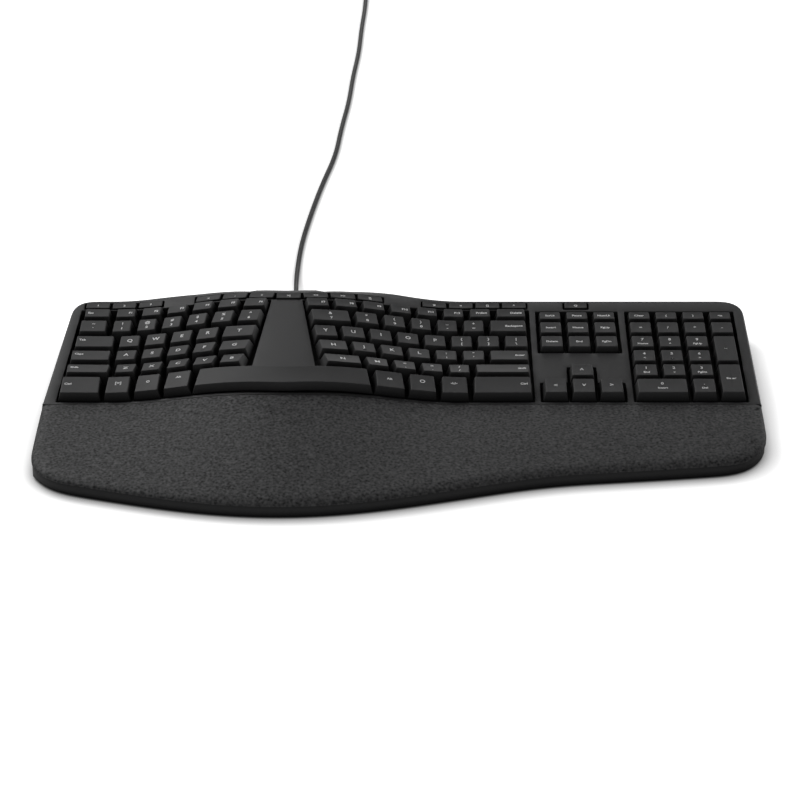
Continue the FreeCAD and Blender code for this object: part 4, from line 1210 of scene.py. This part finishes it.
@dataclass
class Casing:
    """Top case, bottom case, palm rest and what they hold."""

    parting: float = 9.0 * MM
    parting_groove: float = 0.15 * MM
    floor: float = 1.0 * MM
    wall: float = 2.5 * MM
    pad_thick: float = 3.5 * MM
    rim_round: float = 1.6 * MM
    well_round: float = 0.35 * MM
    well_deep: float = 4.5 * MM
    palm_roll: float = 9.0 * MM
    palm_drop: float = 2.9 * MM
    palm_crown: float = 1.2 * MM
    hole_round: float = 0.2 * MM
    base_thick: float = 1.8 * MM
    base_spacing: float = 14.0 * MM
    base_lip: float = 1.6 * MM
    palm_spacing: float = 6.0 * MM
    palm_foot: float = 0.1 * MM
    palm_rings: tuple[float, ...] = (0.0, 0.02, 0.06, 0.13, 0.22, 0.34, 0.48, 0.64, 0.81, 1.0)
    palm_fill: float = 0.9
    palm_near: float = 0.9
    palm_seam: float = 0.5 * MM
    palm_seam_drop: float = 0.45 * MM
    crown_power: float = 0.8
    cover_share: float = 0.8
    near_face: float = 1.0 * MM
    near_floor: float = 0.2 * MM
    near_seam: float = 1.5 * MM
    side_start: float = 205.0 * MM
    side_blend: float = 30.0 * MM
    side_power: float = 1.5
    left_trim: Spots = ((-110, 6.0), (-98, 3.6), (-85, 0.8), (-72, -0.2), (-41, -2.0),
                        (-12, -2.6), (20, -1.4), (50, 0.0), (114, 2.8))
    right_trim: Spots = ((-102, -3.0), (-72, -4.6), (-40, -3.0), (0, -2.2), (60, -3.0),
                         (114, -3.4))
    front_from: float = -50.0 * MM
    front_blend: float = 35.0 * MM
    front_more: float = 2.5 * MM
    hot_back: float = 123.8 * MM
    back_radius: float = 12.0 * MM
    back_part: float = 0.95
    back_roll_x: float = -90.0 * MM
    back_roll_reach: float = 85.0 * MM
    back_roll_fade: float = 30.0 * MM

    def trim(self, loop: list[Vector]) -> list[Vector]:
        """Outline with its sides and its front drawn to the real slant and corners.

        The trims are pairs of y and shift along x, in millimetres.

        Args:
            loop: outer plan loop of a moulding.

        Returns:
            The loop with its side points moved along x and its front points forward.
        """
        moved = []
        for place in loop:
            spots, shifts = zip(*(self.left_trim if place.x < 0 else self.right_trim))
            share = clamp((abs(place.x) - self.side_start) / self.side_blend) ** self.side_power
            shift = float(np.interp(place.y / MM, spots, shifts)) * MM
            ahead = clamp((self.front_from - place.y) / self.front_blend) * self.front_more
            moved.append(Vector((place.x + shift * share, place.y - ahead)))
        return moved

    def top_surface(self, x: float, y: float) -> float:
        """Height of the top case, rolled off behind the small keys where the dome is."""
        away = min(max(y + FIELD.draw_in(x) - self.hot_back, 0.0),
                   self.back_part * self.back_radius)
        share = (self.back_roll_reach - abs(x - self.back_roll_x)) / self.back_roll_fade
        fall = self.back_radius - math.sqrt(self.back_radius ** 2 - away ** 2)
        return FIELD.case_plane(x, y) - fall * clamp(share)

    def build(self) -> None:
        """Builds the mouldings and dresses the pieces inside."""
        self.build_top()
        self.build_bottom()
        self.build_palm_rest()
        for node, finish in (("key_guide", Finishes.GUIDE), ("rubber_sheet", Finishes.RUBBER),
                             ("membrane", Finishes.FILM), ("back_plate", Finishes.STEEL),
                             ("rubber_feet", Finishes.RUBBER), ("case_screws", Finishes.STEEL),
                             ("controller_board", Finishes.BOARD)):
            finish.value.dress(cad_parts[node])
            LOG.info("%s: %s", node, finish.value.name)

    def on_seam(self, place: Vector) -> bool:
        """Whether a plan point is on the seam between bezel and palm rest."""
        return abs(place.y - FIELD.seam_y(place.x)) < self.near_seam

    def build_top(self) -> None:
        """Top case round the keys."""
        rim = EdgeStyle(self.rim_round, self.rim_round,
                        lambda x, y: self.parting + self.parting_groove)
        seam = EdgeStyle(self.well_round, self.well_round,
                         lambda x, y: FIELD.case_plane(x, y) - self.pad_thick)
        well = EdgeStyle(self.well_round, self.well_round,
                         lambda x, y: FIELD.case_plane(x, y) - self.well_deep)

        def style(place: Vector, outer: bool) -> EdgeStyle:
            """Style of the edge at a plan point."""
            if not outer:
                return well
            return seam if self.on_seam(place) else rim

        loops = plan_loops("top_case", 1,
                           lambda p: p.z > FIELD.case_plane(p.x, p.y) - self.near_face
                           and p.y > FIELD.seam_y(p.x) - self.near_floor)
        plate = Moulding("case_top", self.top_surface, style, self.wall, Finishes.CASE)
        made = plate.build([self.trim(loops[0])] + loops[1:])
        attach(made, BASE)
        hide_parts("top_case")
        LOG.info("case_top: %d wells", len(loops) - 1)

    def build_bottom(self) -> None:
        """Bottom case, whose wall shows as the smooth band under the palm rest."""
        rim = EdgeStyle(self.rim_round, self.rim_round, lambda x, y: self.parting)
        hole = EdgeStyle(self.hole_round, self.hole_round, lambda x, y: self.floor + self.wall)
        loops = plan_loops("bottom_case", -1, lambda p: p.z < self.floor + self.near_floor)
        plate = Moulding("case_bottom", lambda x, y: self.floor,
                         lambda place, outer: rim if outer else hole, self.base_thick,
                         Finishes.BAND, sign=-1, spacing=self.base_spacing, lip=self.base_lip)
        made = plate.build([self.trim(loops[0])] + loops[1:])
        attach(made, BASE)
        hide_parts("bottom_case")
        LOG.info("case_bottom: %d screw holes", len(loops) - 1)

    def palm_surface(self, x: float, y: float) -> float:
        """Height of the cushioned skin, a little crowned between its seam and its front edge."""
        seam, front = FIELD.seam_y(x), FIELD.front_edge(x)
        way = clamp((seam - y) / (seam - front))
        crown = self.palm_crown * math.sin(math.pi * way) ** self.crown_power
        return FIELD.palm_plane(x, y) + crown

    def build_palm_rest(self) -> None:
        """Cushioned palm rest with its rolled front edge."""
        roll = EdgeStyle(self.palm_roll, self.palm_drop, lambda x, y: self.parting + self.palm_foot)
        seam = EdgeStyle(self.palm_seam, self.palm_seam_drop,
                         lambda x, y: FIELD.palm_plane(x, y) - self.pad_thick * self.cover_share)
        loops = plan_loops("palm_rest_pad", 1,
                           lambda p: p.z > FIELD.palm_plane(p.x, p.y)
                           - self.pad_thick * self.palm_near)
        plate = Moulding("palm_cushion", self.palm_surface,
                         lambda place, outer: seam if self.on_seam(place) else roll,
                         self.pad_thick * self.cover_share, Finishes.PALM,
                         spacing=self.palm_spacing, rings=self.palm_rings)
        made = plate.build([self.trim(loops[0])])
        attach(made, BASE)
        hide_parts("palm_rest_pad")
        LOG.info("palm_cushion: done")


# Cord

@dataclass
class Cord:
    """Cord from its strain relief to the plug, wound up beyond the camera's view."""

    radius: float = 1.7 * MM
    start_y: float = 146.65 * MM
    length: float = 1.5
    coil_z: float = 2.35 * MM
    coil_inner: float = 12.0 * MM
    coil_climb: float = 11.2 * MM
    coil_step: float = 3.9 * MM
    half_turns: int = 7
    points_per_half: int = 8
    plug_z: float = 4.0 * MM
    relief_root: float = 4.4 * MM
    relief_tip: float = 2.6 * MM
    relief_sides: int = 28
    relief_hole: float = 0.2 * MM
    flange: float = 6.4 * MM
    flange_thick: float = 1.4 * MM
    ribs: int = 7
    ribs_from: float = 0.16
    ribs_part: float = 0.8
    rib_steps: Spots = ((0.0, 0.0), (0.12, 0.0), (0.62, 0.0), (0.74, 1.0), (0.9, 1.0))
    rib_deep: float = 0.7 * MM
    exit_x: float = -77.0 * MM
    exit_z: float = 15.0 * MM
    coil_x: float = -33.0 * MM
    coil_y: float = 689.0 * MM
    curve_steps: int = 6
    round_steps: int = 4

    def route(self) -> list[Vector]:
        """Points of the cord from the strain relief to the coil, as listed."""
        plan = ((-77.0, 0.0, 15.0), (-77.4, 24.0, 14.2), (-78.4, 50.0, 6.0), (-78.8, 82.0, 1.8),
                (-77.0, 130.0, 1.7), (-71.0, 185.0, 1.7), (-63.5, 241.0, 1.7),
                (-54.0, 297.0, 1.7), (-50.5, 353.0, 1.7), (-45.0, 409.0, 1.7),
                (-42.5, 465.0, 1.7), (-38.0, 521.0, 1.7), (-36.5, 577.0, 1.7),
                (-33.5, 633.0, 1.9))
        return [Vector((x * MM, self.start_y + y * MM, z * MM)) for x, y, z in plan]

    def coil(self) -> tuple[list[Vector], Vector]:
        """Points of the coil's turns, in to the middle, up a layer and out again.

        Returns:
            The points, and the place where the last turn ends.
        """
        entry = Vector((self.coil_x, self.start_y + self.coil_y, self.coil_z))
        half = self.coil_step / 2
        radii = [self.coil_inner + half * (self.half_turns - i) for i in range(self.half_turns)]
        radii += [self.coil_climb] * 2
        radii += [self.coil_inner + half * i for i in range(1, self.half_turns)]
        centre = entry - Vector((radii[0], 0, 0))
        lead = Vector((0, 2 * self.radius, 0))
        places = []
        for i, radius in enumerate(radii):
            rise = self.coil_step if i > self.half_turns else 0.0
            side = 1 if i % 2 == 0 else -1
            places.append(centre + Vector((side * radius, 0, rise)) + lead)
        points = [entry]
        for i, (begin, end) in enumerate(zip(places, places[1:])):
            middle, reach = (begin + end) / 2, (begin - end).to_2d().length / 2
            heading = 1 if i % 2 == 0 else -1
            for k in range(self.points_per_half):
                angle = math.pi * k / self.points_per_half
                x = middle.x + heading * reach * math.cos(angle)
                z = begin.z + (end.z - begin.z) * k / self.points_per_half
                points.append(Vector((x, middle.y + heading * reach * math.sin(angle), z)))
        return points, places[-1]

    def build(self) -> None:
        """Builds the cord, its strain relief and the finishes of the plug."""
        points = self.route()
        turns, last = self.coil()
        points += turns
        tail = last + Vector((0, 2 * self.radius, 0))
        points += [last, tail, tail + Vector((0, 9.0 * MM, -0.4 * MM)),
                   tail + Vector((0.6 * MM, 19.0 * MM, -1.6 * MM)),
                   Vector((tail.x + 0.9 * MM, tail.y + 29.0 * MM, self.plug_z))]
        curve = bpy.data.curves.new("cord", "CURVE")
        curve.dimensions = "3D"
        curve.resolution_u = self.curve_steps
        curve.bevel_depth = self.radius
        curve.bevel_resolution = self.round_steps
        curve.use_fill_caps = True
        spline = curve.splines.new("NURBS")
        spline.points.add(len(points) - 1)
        for place, point in zip(points, spline.points):
            point.co = (*place, 1.0)
        spline.order_u = 3
        spline.use_endpoint_u = True
        cord = bpy.data.objects.new("cord", curve)
        bpy.context.scene.collection.objects.link(cord)
        Finishes.JACKET.value.dress(cord)
        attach(cord, BASE)
        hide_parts("cable", "cable_coil")
        relief = self.build_relief()
        for node, finish in (("cable_tie", Finishes.GUIDE), ("plug_grip", Finishes.KEYS),
                             ("plug_shell", Finishes.STEEL)):
            finish.value.dress(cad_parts[node])
        LOG.info("cord: %d points", len(points))

    def build_relief(self) -> bpy.types.Object:
        """Tapered, ribbed strain relief."""
        box_low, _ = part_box("strain_relief")
        thick, tip, sides = self.flange_thick, self.relief_tip, self.relief_sides
        profile = [(0.0, self.relief_hole), (0.0, self.flange), (thick, self.flange)]
        long = self.start_y - box_low.y - thick
        pitch = long * self.ribs_part / self.ribs
        for i in range(self.ribs):
            begin = thick + long * (self.ribs_from + self.ribs_part * i / self.ribs)
            for share, sink in self.rib_steps:
                place = begin + pitch * share
                width = self.relief_root + (tip - self.relief_root) * place / long
                profile.append((place, width - sink * self.rib_deep))
        profile += [(long + thick - 0.2 * MM, tip * 0.98), (long + thick, tip * 0.9),
                    (long + thick, self.relief_hole)]
        points, faces = [], []
        for along, radius in profile:
            for k in range(sides):
                angle = 2 * math.pi * k / sides
                points.append(Vector((self.exit_x + radius * math.cos(angle), box_low.y + along,
                                      self.exit_z + radius * math.sin(angle))))
        for row in range(len(profile) - 1):
            faces += join_rings(row * sides, (row + 1) * sides, sides)
        faces.append(tuple(range(sides)))
        faces.append(tuple((len(profile) - 1) * sides + k for k in reversed(range(sides))))
        made = add_object("relief_sleeve", points, faces, Finishes.JACKET)
        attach(made, BASE)
        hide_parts("strain_relief")
        return made


# Studio

@dataclass(frozen=True)
class Lamp:
    """Square soft light that looks at the keyboard, placed by its turn from +X and its height."""

    name: str
    turn: float
    up: float
    power: float
    size: float = 0.8
    reach: float = 1.9

    def build(self) -> None:
        """Adds the light."""
        light = bpy.data.lights.new(self.name, "AREA")
        light.size = self.size
        light.energy = self.power
        turn, up = math.radians(self.turn), math.radians(self.up)
        holder = bpy.data.objects.new(self.name, light)
        holder.location = self.reach * Vector((math.cos(turn) * math.cos(up),
                                               math.sin(turn) * math.cos(up), math.sin(up)))
        holder.rotation_euler = (-holder.location).to_track_quat("-Z", "Y").to_euler()
        bpy.context.scene.collection.objects.link(holder)


@dataclass
class Studio:
    """Floor, light and camera."""

    elevation: float = math.radians(28.5)
    distance: float = 2.0131
    target: tuple[float, float, float] = (-1.95 * MM, 30.6 * MM, 0.0)
    lens: float = 131.8
    world: float = 0.1
    # Reach and power of the ambient occlusion that paints a soft shadow on the floor near the
    # keyboard.
    painted_shadow_reach: float = 22.0 * MM
    painted_shadow_power: float = 2.0
    floor_half: float = 6.0
    floor_back: float = 12.0
    clip: float = 50.0
    lamps: tuple[Lamp, ...] = (
        Lamp("lamp_back", 90.0, 15.0, 2.8), Lamp("lamp_back_left", 138.0, 42.0, 14.0),
        Lamp("lamp_back_right", 45.0, 15.0, 6.0), Lamp("lamp_front", 270.0, 42.0, 3.0),
        Lamp("lamp_left", 180.0, 15.0, 1.2))

    def paper(self) -> bpy.types.Material:
        """White paper, lit plain white for the camera by its emission, with a soft painted shadow
        where things touch it: ambient occlusion dims the emission and darkens the paper's colour
        there. White paper, as bright as the photo's ground, with a soft shadow where things touch
        it.

        Returns:
            The floor's material.
        """
        made = Finish("floor_paper", (0.9, 0.9, 0.9), (0.8, 0.9), 300.0, 2.0, 0.02, 0.05,
                      specular=0.1).material()
        tree = made.node_tree
        shader = tree.nodes["Principled BSDF"]
        # Painted shadow: ambient occlusion dims the camera-only emission of the floor near the
        # keyboard.
        open_sky = place_node(tree, "AmbientOcclusion", Distance=self.painted_shadow_reach).outputs["AO"]
        seen = place_node(tree, "LightPath").outputs["Is Camera Ray"]
        shade = Grain.chain(tree, "POWER", open_sky, self.painted_shadow_power)
        painted_shadow_emission = Grain.chain(tree, "MULTIPLY", shade, seen)
        tree.links.new(painted_shadow_emission, shader.inputs["Emission Strength"])
        shader.inputs["Emission Color"].default_value = (1.0, 1.0, 1.0, 1.0)
        return made

    def build(self) -> None:
        """Builds the studio."""
        scene = bpy.context.scene
        scene.view_settings.view_transform = "Standard"
        camera = bpy.data.cameras.new("camera")
        camera.lens = self.lens
        camera.clip_end = self.clip
        holder = bpy.data.objects.new("camera", camera)
        back = Vector((0, -math.cos(self.elevation), math.sin(self.elevation)))
        holder.location = Vector(self.target) + back * self.distance
        holder.rotation_euler = (math.pi / 2 - self.elevation, 0, 0)
        scene.collection.objects.link(holder)
        scene.camera = holder
        world = bpy.data.worlds.new("studio")
        world.use_nodes = True
        sky = world.node_tree.nodes["Background"].inputs
        sky["Color"].default_value = (1, 1, 1, 1)
        sky["Strength"].default_value = self.world
        scene.world = world
        mesh = bpy.data.meshes.new("floor")
        half, back_y = self.floor_half, self.floor_back
        mesh.from_pydata([(-half, -half, 0), (half, -half, 0), (half, back_y, 0),
                          (-half, back_y, 0)], [], [(0, 1, 2, 3)])
        floor = bpy.data.objects.new("floor", mesh)
        scene.collection.objects.link(floor)
        floor.data.materials.append(self.paper())
        for lamp in self.lamps:
            lamp.build()


def main() -> None:
    """Builds the studio and every part of the keyboard in order."""
    logging.basicConfig(level=logging.INFO)
    Studio().build()
    Cord().build()
    Casing().build()
    KeySet().build()


if __name__ == "__main__":
    main()
